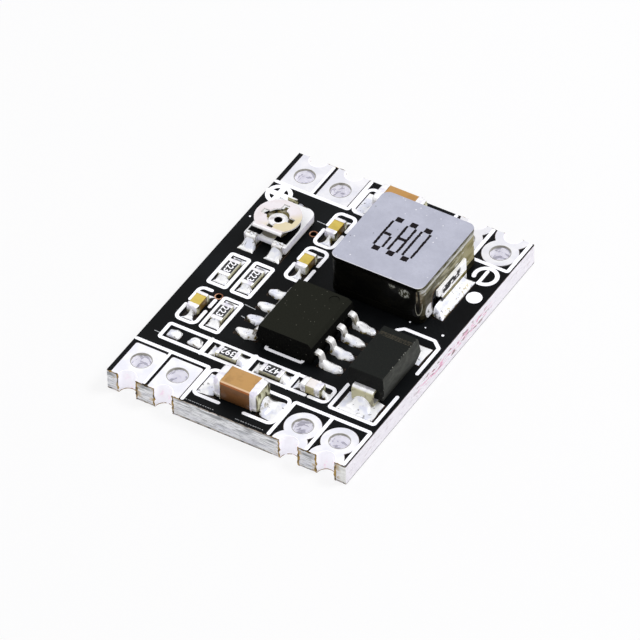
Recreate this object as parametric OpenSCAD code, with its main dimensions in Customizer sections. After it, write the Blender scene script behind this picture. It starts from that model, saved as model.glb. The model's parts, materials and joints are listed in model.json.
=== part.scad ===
// Buck converter module: a small step-down power board. A black two-layer board with plated
// terminal holes and half holes carries an eight-lead regulator, a shielded inductor, a
// surface-mount diode, two large and four small chip capacitors, five chip resistors and an
// open-frame trimmer whose rotor turns.
// Frame: origin at the bottom centre of the board, X across, Y towards the inductor's end, Z up.

/* [Board] */
// Width of the board
board_w = 16.6; // [16.4:0.1:18]
// Length of the board
board_l = 22; // [21.8:0.1:24]
// Thickness of the finished board
board_t = 1.5; // [1:0.1:2]
// Thickness of the copper pads and lands
copper_t = 0.04; // [0.03:0.01:0.08]
// Thickness of the solder mask
mask_t = 0.03; // [0.02:0.01:0.03]
// Gap between a pad and the solder mask around it
mask_gap = 0.05; // [0.03:0.01:0.08]

/* [Terminals] */
// Radius of a plated hole
hole_r = 0.64; // [0.5:0.01:0.7]
// Radius of a half hole in the board's edge
edge_hole_r = 0.6; // [0.4:0.01:0.65]
// Thickness of the plating in a hole
plating_t = 0.04; // [0.03:0.01:0.06]
// Distance from the middle of the board to the inner columns of holes
inner_x = 4.36; // [4.2:0.01:4.4]
// Distance between neighbouring columns of holes
hole_pitch = 2.54; // [2.4:0.01:2.54]
// Distance from the middle of the board to the rows of holes
hole_y = 9.35; // [9.2:0.05:9.4]
// Width of a square-cornered terminal pad
pad_w = 2.18; // [2:0.01:2.3]
// Length of a square-cornered terminal pad, from the board's edge
pad_l = 2.86; // [2.6:0.01:3]
// Radius of a round terminal pad
ring_r = 1.14; // [1:0.01:1.2]
// Radius of a via's hole
via_r = 0.2; // [0.15:0.01:0.25]

/* [Regulator] */
// Width of the moulded body, between the rows of leads
reg_w = 3.9; // [3.8:0.05:4]
// Length of the moulded body
reg_l = 4.9; // [4.8:0.05:5]
// Height of the body's top above the board
reg_h = 1.6; // [1.4:0.05:1.75]
// Width across the toes of the leads
reg_span = 6; // [5.9:0.05:6.2]
// Distance between neighbouring leads
lead_pitch = 1.27; // [1.2:0.01:1.3]
// Width of a lead
lead_w = 0.42; // [0.35:0.01:0.5]
// Thickness of a lead
lead_t = 0.2; // [0.15:0.01:0.22]
// Slope of a lead's leg from level, degrees
lead_slope = 75; // [65:1:82]

/* [Diode] */
// Width of the diode's body
diode_w = 2.6; // [2.4:0.05:2.8]
// Length of the diode's body
diode_l = 4.3; // [4:0.05:4.5]
// Height of the diode's top above the board
diode_h = 2.15; // [2:0.05:2.3]
// Length over the diode's leads
diode_span = 5.1; // [5:0.05:5.3]
// Width of a diode lead
diode_lead_w = 1.48; // [1.3:0.01:1.6]
// Height of the top of a diode lead where it leaves the body
diode_lead_h = 1.2; // [1.1:0.05:1.3]

/* [Inductor] */
// Width of the inductor's core
ind_w = 6.4; // [6:0.1:6.6]
// Length of the inductor's core
ind_l = 6.6; // [6.2:0.1:6.8]
// Height of the inductor above the board
ind_h = 3; // [2.6:0.1:3.2]
// Corner radius of the core
ind_r = 0.5; // [0.3:0.05:0.8]
// Thickness of the core's top plate
top_plate_t = 0.32; // [0.25:0.01:0.5]
// Thickness of the core's bottom plate
bottom_plate_t = 0.5; // [0.4:0.05:0.7]
// Radius of the core's post
post_r = 1.5; // [1.2:0.1:1.8]
// Outer radius of the winding
coil_r = 2.8; // [2.4:0.1:2.9]
// Width of a terminal clip
clip_w = 3.3; // [2.5:0.1:3.6]
// Thickness of a terminal clip
clip_t = 0.15; // [0.1:0.01:0.15]
// Height of a terminal clip above the board
clip_h = 1.7; // [1.2:0.05:1.9]

/* [Chips] */
// Length of a large capacitor
big_l = 3.2; // [3:0.05:3.3]
// Width and height of a large capacitor
big_w = 1.6; // [1.4:0.05:1.7]
// Length of a small capacitor
small_l = 1.44; // [1.4:0.02:1.7]
// Width of a small capacitor
small_w = 0.78; // [0.7:0.02:0.86]
// Height of a small capacitor
small_h = 0.7; // [0.6:0.05:0.85]
// Length of a resistor
resistor_l = 1.5; // [1.44:0.02:1.6]
// Width of a resistor
resistor_w = 0.76; // [0.7:0.02:0.86]
// Height of a resistor
resistor_h = 0.38; // [0.34:0.01:0.55]
// Thickness of the metal on a chip's ends
end_t = 0.03; // [0.02:0.01:0.04]

/* [Trimmer] */
// Width of the ceramic base
base_w = 2.95; // [2.8:0.05:3.1]
// Length of the ceramic base
base_l = 3.75; // [3.6:0.05:3.8]
// Distance from the rotor's axis to the front of the base
base_front = 1.65; // [1.6:0.05:1.7]
// Thickness of the ceramic base
base_t = 0.5; // [0.4:0.05:0.55]
// Thickness of the terminals under the base
tab_t = 0.12; // [0.1:0.01:0.13]
// Radius of the rotor's dial
dial_r = 1.47; // [1.4:0.01:1.5]
// Height of the rotor's dial above the board
dial_h = 1.33; // [1.3:0.01:1.4]
// Height of the rotor's hub above the board
hub_h = 0.92; // [0.9:0.01:0.94]
// Thickness of the rotor's sheet
dial_t = 0.11; // [0.1:0.01:0.12]
// Width of the rotor's folded neck
neck_w = 2; // [1.6:0.1:2.1]
// Distance from the axis to the outside of the fold
neck_reach = 1.38; // [1.35:0.01:1.45]
// Outer radius of the hollow rivet
rivet_r = 0.42; // [0.38:0.01:0.45]
// Radial clearance between the rivet and the rotor
rotor_gap = 0.03; // [0.02:0.01:0.05]

/* [Hidden] */
$fn = 48;

// Overrun of a cutting solid past the face it cuts
cut = 0.1;

// Places on the board, each [x, y] from its middle
reg_at = [0.3, -2.35];
diode_at = [6.45, -3.5];
ind_at = [2.92, 4.7];
trimmer_at = [-5.67, 4.3];
input_at = [0, -9.1];
output_at = [0, 9.1];
via_places = [[-5.83, -2.33], [-3.75, 5.2]];
bare_places = [[-6.35, -6.5], [-4.9, -6.5]];

// Small chips, each [x, y, turn in degrees]
bootstrap_at = [-2.6, 5.9, 90];
feedback_at = [-2.6, 2.48, 90];
compensation_at = [-6.42, -3.74, 90];
enable_at = [3.34, -6.52, 0];
resistor_places = [
    [-6.42, -0.14, 90], [-4.77, -0.14, 90], [-4.78, -3.65, 90], [-2.56, -6.48, 0], [0.5, -6.48, 0]
];
capacitor_places = [bootstrap_at, feedback_at, compensation_at, enable_at];

// Terminal holes
columns_left = [-inner_x - hole_pitch, -inner_x];
columns_right = [inner_x, inner_x + hole_pitch];
columns = concat(columns_left, columns_right);
drill_r = hole_r + plating_t;
edge_drill_r = edge_hole_r + plating_t;
via_ring_r = via_r + 0.07;
core_t = board_t - 2 * copper_t;

// Lands, each [length, width]
big_land = [1.25, 1.84];
big_land_x = 2.05;
small_land = [0.78, 0.84];
small_land_x = 0.82;
lead_land = [1.62, 0.62];
lead_land_x = 2.91;
diode_land = [2.5, 1.65];
diode_land_y = 2.75;
ind_land = [2.2, 3.9];
ind_land_x = 2.7;
ind_land_at = [0.2, -0.25];
trim_land = [1, 1.3];
trim_land_x = 0.96;
trim_land_y = -1.75;
tap_land = [1, 1.1];
tap_land_y = 2.2;

// Heights above the board
reg_stand = 0.12;
reg_part = 0.85;
reg_draft = 0.13;
diode_lead_t = 0.2;
diode_part = diode_lead_h - diode_lead_t;
clip_bend = 0.1;
solder_toe = 0.05;
rivet_flange = 0.08;
deck = tab_t + base_t;
fold_r = 0.03;
hub_low = hub_h - dial_t;
track_t = 0.03;
rivet_hole_r = 0.25;

// Flat outlines

module rounded_rect(w, l, r) {
    square([w - 2 * r, l], center = true);
    square([w, l - 2 * r], center = true);
    for (x = [-1, 1], y = [-1, 1])
        translate([x * (w / 2 - r), y * (l / 2 - r)]) circle(r);
}

module board_outline() {
    square([board_w, board_l], center = true);
}

module drilled_2d() {
    for (x = columns, side = [-1, 1]) {
        translate([x, side * hole_y]) circle(drill_r);
        translate([x, side * board_l / 2]) circle(edge_drill_r);
    }
}

module via_holes_2d(r) {
    for (p = via_places)
        translate(p) circle(r);
}

// The left columns have square-cornered pads. The right ones have a ring that runs into a
// half disc at the edge.
module edge_pads_2d(grow = 0) {
    intersection() {
        board_outline();
        union() {
            for (x = columns_left, side = [-1, 1])
                translate([x, side * board_l / 2]) rounded_rect(pad_w + 2 * grow, 2 * (pad_l + grow), 0.15);
            for (x = columns_right, side = [-1, 1]) {
                translate([x, side * hole_y]) circle(ring_r + grow);
                translate([x, side * board_l / 2]) circle(ring_r + grow);
            }
        }
    }
}

// A pair of lands either side of a part
module land_pair(size, reach, grow) {
    for (side = [-1, 1])
        translate([side * reach, 0]) rounded_rect(size[0] + 2 * grow, size[1] + 2 * grow, 0.08);
}

module lands_2d(grow = 0) {
    for (p = [input_at, output_at])
        translate(p) land_pair(big_land, big_land_x, grow);
    for (p = concat(capacitor_places, resistor_places))
        translate([p[0], p[1]]) rotate(p[2]) land_pair(small_land, small_land_x, grow);
    translate(reg_at)
        for (i = [-1.5:1:1.5])
            translate([0, i * lead_pitch]) land_pair(lead_land, lead_land_x, grow);
    translate(diode_at)
        rotate(90) land_pair([diode_land[1], diode_land[0]], diode_land_y, grow);
    translate(ind_at + ind_land_at)
        land_pair(ind_land, ind_land_x, grow);
    translate(trimmer_at) {
        translate([0, trim_land_y]) land_pair(trim_land, trim_land_x, grow);
        translate([tap_x, tap_land_y]) rounded_rect(tap_land[0] + 2 * grow, tap_land[1] + 2 * grow, 0.08);
    }
    for (p = bare_places)
        translate(p) circle(0.44 + grow);
}

// Board

module circuit_board() {
    color("tan")
        translate([0, 0, copper_t])
        linear_extrude(core_t)
        difference() {
            board_outline();
            drilled_2d();
            via_holes_2d(via_r + plating_t);
        }
}

module mask_sheet(with_lands) {
    linear_extrude(mask_t)
        difference() {
            board_outline();
            edge_pads_2d(mask_gap);
            via_holes_2d(via_ring_r);
            if (with_lands)
                lands_2d(mask_gap);
        }
}

module solder_mask_top() {
    color([0.06, 0.06, 0.07])
        translate([0, 0, board_t - copper_t]) mask_sheet(true);
}

module solder_mask_bottom() {
    color([0.06, 0.06, 0.07])
        translate([0, 0, copper_t - mask_t]) mask_sheet(false);
}

module pad_sheet() {
    color("silver")
        linear_extrude(copper_t)
        difference() {
            edge_pads_2d();
            drilled_2d();
        }
}

module edge_pads_top() {
    translate([0, 0, board_t - copper_t]) pad_sheet();
}

module edge_pads_bottom() {
    pad_sheet();
}

module tube(outer, inner, h) {
    difference() {
        cylinder(r = outer, h = h);
        translate([0, 0, -cut]) cylinder(r = inner, h = h + 2 * cut);
    }
}

module plated_holes() {
    color("gainsboro")
        for (x = columns, side = [-1, 1])
            translate([x, side * hole_y, 0]) tube(drill_r, hole_r, board_t);
}

module edge_plating() {
    color("gainsboro")
        intersection() {
            translate([-board_w / 2, -board_l / 2, 0]) cube([board_w, board_l, board_t]);
            for (x = columns, side = [-1, 1])
                translate([x, side * board_l / 2, 0]) tube(edge_drill_r, edge_hole_r, board_t);
        }
}

// A barrel with a ring at each face
module vias() {
    color("peru")
        for (p = via_places)
            translate([p[0], p[1], 0]) {
                tube(via_r + plating_t, via_r, board_t);
                for (z = [0, board_t - copper_t])
                    translate([0, 0, z]) tube(via_ring_r, via_r, copper_t);
            }
}

module component_lands() {
    color("silver")
        translate([0, 0, board_t - copper_t]) linear_extrude(copper_t) lands_2d();
}

// Shared solids

// A moulded body that tapers up from its parting line by one draft and down from it by
// another. A bevel runs along its +X top edge.
module moulded_body(w, l, low, part, high, draft_up, draft_down, bevel) {
    module section(half, width, bevel) {
        top = half - draft_up;
        low_half = half - draft_down;
        linear_extrude(width, center = true)
            polygon([
                [-low_half, low], [low_half, low], [half, part],
                [top + draft_up * bevel / (high - part), high - bevel], [top - bevel, high],
                [-top, high], [-half, part]
            ]);
    }
    intersection() {
        rotate([90, 0, 0]) section(w / 2, l, bevel);
        rotate([90, 0, 90]) section(l / 2, w, 0);
    }
}

// A flat strip that starts along +X with its lower face at z = 0. Each step is
// [length, bend in degrees, inside radius], and a positive bend turns upwards.
module bent_strip(steps, w, t, i = 0) {
    if (i < len(steps)) {
        run = steps[i][0];
        bend = steps[i][1];
        r = steps[i][2];
        up = bend > 0;
        pivot = up ? t + r : -r;
        if (run > 0)
            translate([0, -w / 2, 0]) cube([run, w, t]);
        translate([run, 0, pivot]) {
            if (bend != 0)
                rotate([90, 0, 0]) rotate(up ? -90 : 90 + bend)
                    rotate_extrude(angle = abs(bend)) translate([r, -w / 2]) square([t, w]);
            rotate([0, -bend, 0]) translate([0, 0, -pivot]) bent_strip(steps, w, t, i + 1);
        }
    }
}

// Solder that climbs from the toe of a land to a vertical face at x = 0, with a hollow slope
module solder_slope(w, run, rise) {
    drop = rise - solder_toe;
    r = (run * run + drop * drop) / (2 * drop);
    difference() {
        translate([0, -w / 2, 0]) cube([run, w, rise]);
        translate([run, w / 2 + cut, r + solder_toe]) rotate([90, 0, 0])
            cylinder(r = r, h = w + 2 * cut, $fn = 96);
    }
}

// Regulator

module regulator_place() {
    translate([reg_at[0], reg_at[1], board_t]) children();
}

lead_inside = 0.3;
lead_bend_r = 0.12;
lead_mid_r = lead_bend_r + lead_t / 2;
lead_z = reg_part - lead_t / 2;
leg = (lead_z - 2 * lead_mid_r * (1 - cos(lead_slope))) / sin(lead_slope);
lead_out = 0.12;
foot = (reg_span - reg_w) / 2 - lead_out - 2 * lead_mid_r * sin(lead_slope) - leg * cos(lead_slope);

module gull_wing() {
    translate([reg_w / 2 - lead_inside, 0, lead_z])
        bent_strip([
            [lead_inside + lead_out, -lead_slope, lead_bend_r],
            [leg, lead_slope, lead_bend_r],
            [foot, 0, 0]
        ], lead_w, lead_t);
}

module each_lead() {
    for (side = [0, 180], i = [-1.5:1:1.5])
        translate([0, i * lead_pitch, 0]) rotate(side) children();
}

module regulator_body() {
    color([0.12, 0.12, 0.12])
        regulator_place()
        difference() {
            moulded_body(reg_w, reg_l, reg_stand, reg_part, reg_h, reg_draft, reg_draft, 0.22);
            each_lead()
                translate([reg_w / 2 - lead_inside, -lead_w / 2, lead_z]) cube([1, lead_w, lead_t]);
            translate([reg_w / 2 - 1.0, reg_l / 2 - 0.65, reg_h - 0.05]) cylinder(r = 0.32, h = 1);
        }
}

module regulator_leads() {
    color("silver")
        regulator_place() each_lead() gull_wing();
}

// A low mound with a round toe, open where the lead's foot stands
module regulator_solder() {
    heel = reg_span / 2 - foot - 0.12;
    toe = lead_land_x + lead_land[0] / 2 - 0.05;
    mound_w = lead_land[1] - 0.04;
    color("whitesmoke")
        regulator_place() each_lead()
        difference() {
            linear_extrude(lead_t * 0.75) {
                translate([heel, -mound_w / 2]) square([toe - heel - mound_w / 2, mound_w]);
                translate([toe - mound_w / 2, 0]) circle(mound_w / 2);
            }
            translate([0, -lead_w / 2, -cut]) cube([reg_span / 2, lead_w, 1]);
        }
}

// Diode

module diode_place() {
    translate([diode_at[0], diode_at[1], board_t]) children();
}

diode_inside = 0.4;
diode_bend_r = 0.1;
diode_out = (diode_span - diode_l) / 2 - diode_bend_r - diode_lead_t;
diode_leg = diode_lead_h - 2 * (diode_bend_r + diode_lead_t);
diode_foot = 1.1;

// A lead that leaves the end of the body, turns down and tucks under it
module j_lead() {
    translate([diode_l / 2 - diode_inside, 0, diode_part])
        bent_strip([
            [diode_inside + diode_out, -90, diode_bend_r],
            [diode_leg, -90, diode_bend_r],
            [diode_foot, 0, 0]
        ], diode_lead_w, diode_lead_t);
}

module diode_body() {
    color([0.13, 0.14, 0.14])
        diode_place()
        difference() {
            moulded_body(
                diode_w, diode_l, diode_lead_t, diode_part + diode_lead_t / 2, diode_h, 0.12, 0.24, 0.06
            );
            for (turn = [90, -90])
                rotate(turn)
                    translate([diode_l / 2 - diode_inside, -diode_lead_w / 2, diode_part])
                    cube([1, diode_lead_w, diode_lead_t]);
        }
}

module diode_lead_front() {
    color("silver") diode_place() rotate(-90) j_lead();
}

module diode_lead_back() {
    color("silver") diode_place() rotate(90) j_lead();
}

module diode_solder() {
    color("whitesmoke")
        diode_place()
        for (turn = [90, -90])
            rotate(turn) translate([diode_span / 2, 0, 0]) solder_slope(diode_lead_w, 0.85, 0.5);
}

// Inductor

module inductor_place() {
    translate([ind_at[0], ind_at[1], board_t]) children();
}

winding_low = clip_t + bottom_plate_t;
winding_high = ind_h - top_plate_t;
plate_inset = 0.02;
notch_r = 0.38;
notch_y = 0.12 - clip_w / 2;
notch_h = 1.15;
wire_r = 0.14;

// A half-round channel at the front of each clip, where the winding's tail comes down
module wire_notches() {
    for (side = [-1, 1])
        translate([side * ind_w / 2, notch_y, 0]) cylinder(r = notch_r, h = notch_h);
}

// The tails run out from the winding and turn down in the channels
module winding_tails() {
    bend_r = 0.3;
    tail_x = ind_w / 2 - wire_r - 0.08;
    drop = notch_h + 0.05 - clip_t;
    for (side = [0, 1])
        mirror([side, 0, 0]) translate([tail_x, notch_y, clip_t]) {
            cylinder(r = wire_r, h = drop);
            translate([-bend_r, 0, drop]) rotate([90, 0, 0])
                rotate_extrude(angle = 90) translate([bend_r, 0]) circle(wire_r);
            translate([-bend_r, 0, drop + bend_r]) rotate([0, -90, 0]) cylinder(r = wire_r, h = 0.6);
        }
}

// A drum of ferrite: two plates on a round post
module inductor_core() {
    color([0.72, 0.71, 0.76])
        inductor_place() {
            translate([0, 0, winding_high]) linear_extrude(top_plate_t) rounded_rect(ind_w, ind_l, ind_r);
            translate([0, 0, winding_low]) cylinder(r = post_r, h = winding_high - winding_low);
            difference() {
                translate([0, 0, clip_t]) linear_extrude(bottom_plate_t) rounded_rect(ind_w, ind_l, ind_r);
                wire_notches();
            }
        }
}

module inductor_winding() {
    color("chocolate")
        inductor_place() {
            translate([0, 0, winding_low]) tube(coil_r, post_r, winding_high - winding_low);
            winding_tails();
        }
}

module inductor_resin() {
    color([0.16, 0.15, 0.11])
        inductor_place()
        difference() {
            translate([0, 0, winding_low])
                linear_extrude(winding_high - winding_low)
                rounded_rect(ind_w - 2 * plate_inset, ind_l - 2 * plate_inset, ind_r);
            translate([0, 0, winding_low - cut]) cylinder(r = coil_r, h = ind_h);
            wire_notches();
            winding_tails();
        }
}

// A sheet clip that lies under the bottom plate and stands up its side, with a bite out
// of its front edge for the wire
module inductor_clip() {
    reach = 1.5;
    difference() {
        translate([ind_w / 2 - reach, 0, 0])
            bent_strip([[reach, 90, 0.05], [clip_h - clip_t - 0.05, 0, 0]], clip_w, clip_t);
        translate([ind_w / 2, notch_y, clip_t]) cylinder(r = notch_r, h = notch_h - clip_t);
    }
}

module inductor_clip_left() {
    color("silver")
        inductor_place() mirror([1, 0, 0]) inductor_clip();
}

module inductor_clip_right() {
    color("silver")
        inductor_place() inductor_clip();
}

module inductor_solder() {
    face = ind_w / 2 + 0.05 + clip_t;
    toe = ind_land_x + ind_land[0] / 2;
    color("whitesmoke")
        inductor_place()
        for (side = [1, -1]) {
            run = toe + side * ind_land_at[0] - face;
            rotate(side > 0 ? 0 : 180)
                translate([face, 0, 0]) solder_slope(clip_w, run, min(run + solder_toe, 0.55));
        }
}

// Chip capacitors and resistors

// A block with rounded edges all round
module soft_block(l, w, h, r) {
    intersection() {
        linear_extrude(h) rounded_rect(l, w, r);
        translate([0, w / 2, h / 2]) rotate([90, 0, 0]) linear_extrude(w) rounded_rect(l, h, r);
        translate([-l / 2, 0, h / 2]) rotate([90, 0, 90]) linear_extrude(l) rounded_rect(w, h, r);
    }
}

module chip_place(p) {
    translate([p[0], p[1], board_t]) rotate(len(p) > 2 ? p[2] : 0) children();
}

// The corner radius of a capacitor, from its width
function chip_round(w) = 0.09 * w;

module capacitor_body(l, w, h) {
    translate([0, 0, end_t])
        soft_block(l - 2 * end_t, w - 2 * end_t, h - 2 * end_t, chip_round(w) - end_t);
}

// A metal cup over each end of the body
module capacitor_ends(l, w, h, cup) {
    difference() {
        soft_block(l, w, h, chip_round(w));
        translate([-l / 2 + cup, -w, -cut]) cube([l - 2 * cup, 2 * w, h + 2 * cut]);
        capacitor_body(l, w, h);
    }
}

module big_body() {
    capacitor_body(big_l, big_w, big_w);
}

module big_ends() {
    capacitor_ends(big_l, big_w, big_w, 0.52);
}

module small_body() {
    capacitor_body(small_l, small_w, small_h);
}

module small_ends() {
    capacitor_ends(small_l, small_w, small_h, 0.26);
}

module input_capacitor_body() {
    color("rosybrown") chip_place(input_at) big_body();
}

module input_capacitor_ends() {
    color("silver") chip_place(input_at) big_ends();
}

module output_capacitor_body() {
    color("rosybrown") chip_place(output_at) big_body();
}

module output_capacitor_ends() {
    color("silver") chip_place(output_at) big_ends();
}

module bootstrap_capacitor_body() {
    color("goldenrod") chip_place(bootstrap_at) small_body();
}

module bootstrap_capacitor_ends() {
    color("silver") chip_place(bootstrap_at) small_ends();
}

module feedback_capacitor_body() {
    color("goldenrod") chip_place(feedback_at) small_body();
}

module feedback_capacitor_ends() {
    color("silver") chip_place(feedback_at) small_ends();
}

module compensation_capacitor_body() {
    color("goldenrod") chip_place(compensation_at) small_body();
}

module compensation_capacitor_ends() {
    color("silver") chip_place(compensation_at) small_ends();
}

module enable_capacitor_body() {
    color("wheat") chip_place(enable_at) small_body();
}

module enable_capacitor_ends() {
    color("silver") chip_place(enable_at) small_ends();
}

resistor_end = 0.28;
glaze_t = 0.03;
substrate_h = resistor_h - end_t - glaze_t;

// A plate of white ceramic
module resistor_body(i) {
    color("white")
        chip_place(resistor_places[i])
        translate([-resistor_l / 2 + end_t, -resistor_w / 2, end_t])
        cube([resistor_l - 2 * end_t, resistor_w, substrate_h]);
}

// The black coat over the resistive film
module resistor_glaze(i) {
    l = resistor_l - 2 * resistor_end;
    color([0.08, 0.08, 0.09])
        chip_place(resistor_places[i])
        translate([-l / 2, -resistor_w / 2 + 0.02, end_t + substrate_h])
        cube([l, resistor_w - 0.04, glaze_t]);
}

// A metal fold round each end of the plate
module resistor_ends(i) {
    color("silver")
        chip_place(resistor_places[i])
        difference() {
            soft_block(resistor_l, resistor_w, resistor_h, 0.05);
            translate([-resistor_l / 2 + resistor_end, -resistor_w, -cut])
                cube([resistor_l - 2 * resistor_end, 2 * resistor_w, resistor_h + 2 * cut]);
            translate([-resistor_l / 2 + end_t, -resistor_w, end_t])
                cube([resistor_l - 2 * end_t, 2 * resistor_w, substrate_h]);
        }
}

module chip_solder() {
    color("whitesmoke") {
        for (p = [input_at, output_at])
            chip_place(p)
                for (turn = [0, 180])
                    rotate(turn) translate([big_l / 2, 0, 0]) solder_slope(big_w - 0.3, 0.95, 0.7);
        for (p = capacitor_places)
            chip_place(p)
                for (turn = [0, 180])
                    rotate(turn) translate([small_l / 2, 0, 0]) solder_slope(small_w - 0.06, 0.42, 0.36);
        for (p = resistor_places)
            chip_place(p)
                for (turn = [0, 180])
                    rotate(turn)
                    translate([resistor_l / 2, 0, 0]) solder_slope(resistor_w - 0.06, 0.42, 0.26);
    }
}

// A dome of solder on each land that carries no part
module bare_pad_solder() {
    dome_r = 0.44;
    dome_h = 0.26;
    ball_r = (dome_r * dome_r + dome_h * dome_h) / (2 * dome_h);
    color("whitesmoke")
        for (p = bare_places)
            translate([p[0], p[1], board_t])
                intersection() {
                    translate([0, 0, dome_h - ball_r]) sphere(ball_r);
                    cylinder(r = 1, h = 1);
                }
}

// Trimmer, about its rotor's axis

module trimmer_place() {
    translate([trimmer_at[0], trimmer_at[1], board_t]) children();
}

base_back = base_l - base_front;
terminal_w = 0.7;
terminal_x = 0.93;
tap_x = -0.33;
tap_w = 0.66;
tap_h = 0.88;

recess_w = 2 * terminal_x - terminal_w;
recess_l = 0.2;
base_round = base_t / 2;

// The ceramic plate has two large round corners at the back and a recess in its front
// edge between the terminals
module base_2d() {
    difference() {
        intersection() {
            translate([0, (base_back - base_front) / 2]) rounded_rect(base_w, base_l, 0.1);
            translate([0, base_back - base_l]) rounded_rect(base_w, 2 * base_l, 0.55);
        }
        translate([0, -base_front]) rounded_rect(recess_w, 2 * (recess_l + base_round), 0.1);
        circle(rivet_r);
    }
}

// The recess's edge is fully round
module recess_edge() {
    rotate([90, 0, -90])
        linear_extrude(recess_w, center = true) {
            circle(base_round);
            translate([-0.3, -base_round]) square([0.3, base_t]);
        }
}

module trimmer_base() {
    color("white")
        trimmer_place() {
            translate([0, 0, tab_t]) linear_extrude(base_t) base_2d();
            translate([0, recess_l + base_round - base_front, tab_t + base_round]) recess_edge();
        }
}

// The horseshoe of resistive film
module trimmer_track() {
    track_out = 1.36;
    track_in = 0.8;
    legs = base_front - 0.34;
    color([0.05, 0.05, 0.05])
        trimmer_place()
        translate([0, 0, deck])
        linear_extrude(track_t)
        difference() {
            union() {
                circle(track_out);
                translate([-track_out, -legs]) square([2 * track_out, legs]);
            }
            circle(track_in);
            translate([-0.5, -base_front]) square([1, base_front]);
        }
}

// A clip round the front edge of the base
module front_terminal(side) {
    under = 0.95;
    over = 0.26;
    color("silver")
        trimmer_place()
        translate([side * terminal_x, -base_front + under, 0])
        rotate(-90)
        bent_strip([
            [under, 90, 0.05],
            [base_t - 0.1, 90, 0.05],
            [over, 0, 0]
        ], terminal_w, tab_t);
}

module trimmer_terminal_left() {
    front_terminal(-1);
}

module trimmer_terminal_right() {
    front_terminal(1);
}

// The centre tap: a strip under the base that stands up behind it, drawn up through the
// base as a hollow rivet and flared over the rotor's hub
module trimmer_rivet() {
    flange_low = hub_h + 0.02;
    flange_r = 0.58;
    color("gainsboro")
        trimmer_place()
        difference() {
            union() {
                cylinder(r = rivet_r + 0.2, h = tab_t);
                translate([tap_x, 0, 0]) rotate(90)
                    bent_strip([[base_back, 90, 0.05], [tap_h - tab_t - 0.05, 0, 0]], tap_w, tab_t);
                cylinder(r = rivet_r, h = flange_low + rivet_flange);
                translate([0, 0, flange_low])
                    rotate_extrude() {
                        square([flange_r, rivet_flange]);
                        translate([flange_r, rivet_flange / 2]) circle(rivet_flange / 2);
                    }
            }
            translate([0, 0, -cut]) cylinder(r = rivet_hole_r, h = dial_h);
        }
}

// The dial's opening: a round window with four slots for a screwdriver
module cross_2d() {
    circle(0.7);
    for (turn = [0, 90])
        rotate(turn) square([2.2, 0.42], center = true);
}

// One folded sheet: the slotted dial above, a tight fold at its front, then a leaf that
// slopes back down to the hub and the finger that presses on the track
module trimmer_rotor() {
    bend_y = neck_reach - fold_r - dial_t;
    waist_w = neck_w - 0.2;
    lap = 0.1;
    leaf_slope = 25;
    leaf = (dial_h - dial_t - 2 * fold_r - hub_h) / sin(leaf_slope);
    hub_r = 0.95;
    finger_w = 0.5;
    finger_end = 1.28;
    contact_y = 1.08;
    color([0.86, 0.82, 0.76])
        trimmer_place() {
            translate([0, 0, dial_h - dial_t]) linear_extrude(dial_t)
                difference() {
                    intersection() {
                        union() {
                            circle(dial_r);
                            translate([-waist_w / 2, -bend_y]) square([waist_w, bend_y]);
                        }
                        translate([-dial_r, -bend_y]) square(2 * dial_r);
                    }
                    cross_2d();
                }
            translate([0, lap - bend_y, dial_h - dial_t]) rotate(-90)
                bent_strip([
                    [lap, leaf_slope - 180, fold_r],
                    [leaf, -leaf_slope, fold_r],
                    [0.25, 0, 0]
                ], neck_w, dial_t);
            translate([0, 0, hub_low]) linear_extrude(dial_t)
                difference() {
                    union() {
                        circle(hub_r);
                        translate([-finger_w / 2, 0]) square([finger_w, finger_end]);
                    }
                    circle(rivet_r + rotor_gap);
                }
            translate([0, contact_y, deck + track_t + 0.01])
                cylinder(r = 0.12, h = hub_low - deck - track_t);
        }
}

module trimmer_solder() {
    front = base_front + 0.05 + tab_t;
    color("whitesmoke")
        trimmer_place() {
            for (side = [-1, 1])
                translate([side * terminal_x, -front, 0])
                    rotate(-90) solder_slope(terminal_w + 0.1, 0.5, 0.5);
            translate([tap_x, base_back + 0.05 + tab_t, 0]) rotate(90) solder_slope(tap_w, 0.4, 0.38);
        }
}

circuit_board();
solder_mask_top();
solder_mask_bottom();
edge_pads_top();
edge_pads_bottom();
plated_holes();
edge_plating();
vias();
component_lands();
regulator_body();
regulator_leads();
regulator_solder();
diode_body();
diode_lead_front();
diode_lead_back();
diode_solder();
inductor_core();
inductor_winding();
inductor_resin();
inductor_clip_left();
inductor_clip_right();
inductor_solder();
input_capacitor_body();
input_capacitor_ends();
output_capacitor_body();
output_capacitor_ends();
bootstrap_capacitor_body();
bootstrap_capacitor_ends();
feedback_capacitor_body();
feedback_capacitor_ends();
compensation_capacitor_body();
compensation_capacitor_ends();
enable_capacitor_body();
enable_capacitor_ends();
resistor_body(0);  // resistor_1_body
resistor_glaze(0);  // resistor_1_glaze
resistor_ends(0);  // resistor_1_ends
resistor_body(1);  // resistor_2_body
resistor_glaze(1);  // resistor_2_glaze
resistor_ends(1);  // resistor_2_ends
resistor_body(2);  // resistor_3_body
resistor_glaze(2);  // resistor_3_glaze
resistor_ends(2);  // resistor_3_ends
resistor_body(3);  // resistor_4_body
resistor_glaze(3);  // resistor_4_glaze
resistor_ends(3);  // resistor_4_ends
resistor_body(4);  // resistor_5_body
resistor_glaze(4);  // resistor_5_glaze
resistor_ends(4);  // resistor_5_ends
trimmer_base();
trimmer_track();
trimmer_terminal_left();
trimmer_terminal_right();
trimmer_rivet();
trimmer_rotor();
trimmer_solder();
chip_solder();
bare_pad_solder();
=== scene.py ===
import json
import math
import random
import bmesh
import bpy
from mathutils import Matrix, Vector, noise


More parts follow.
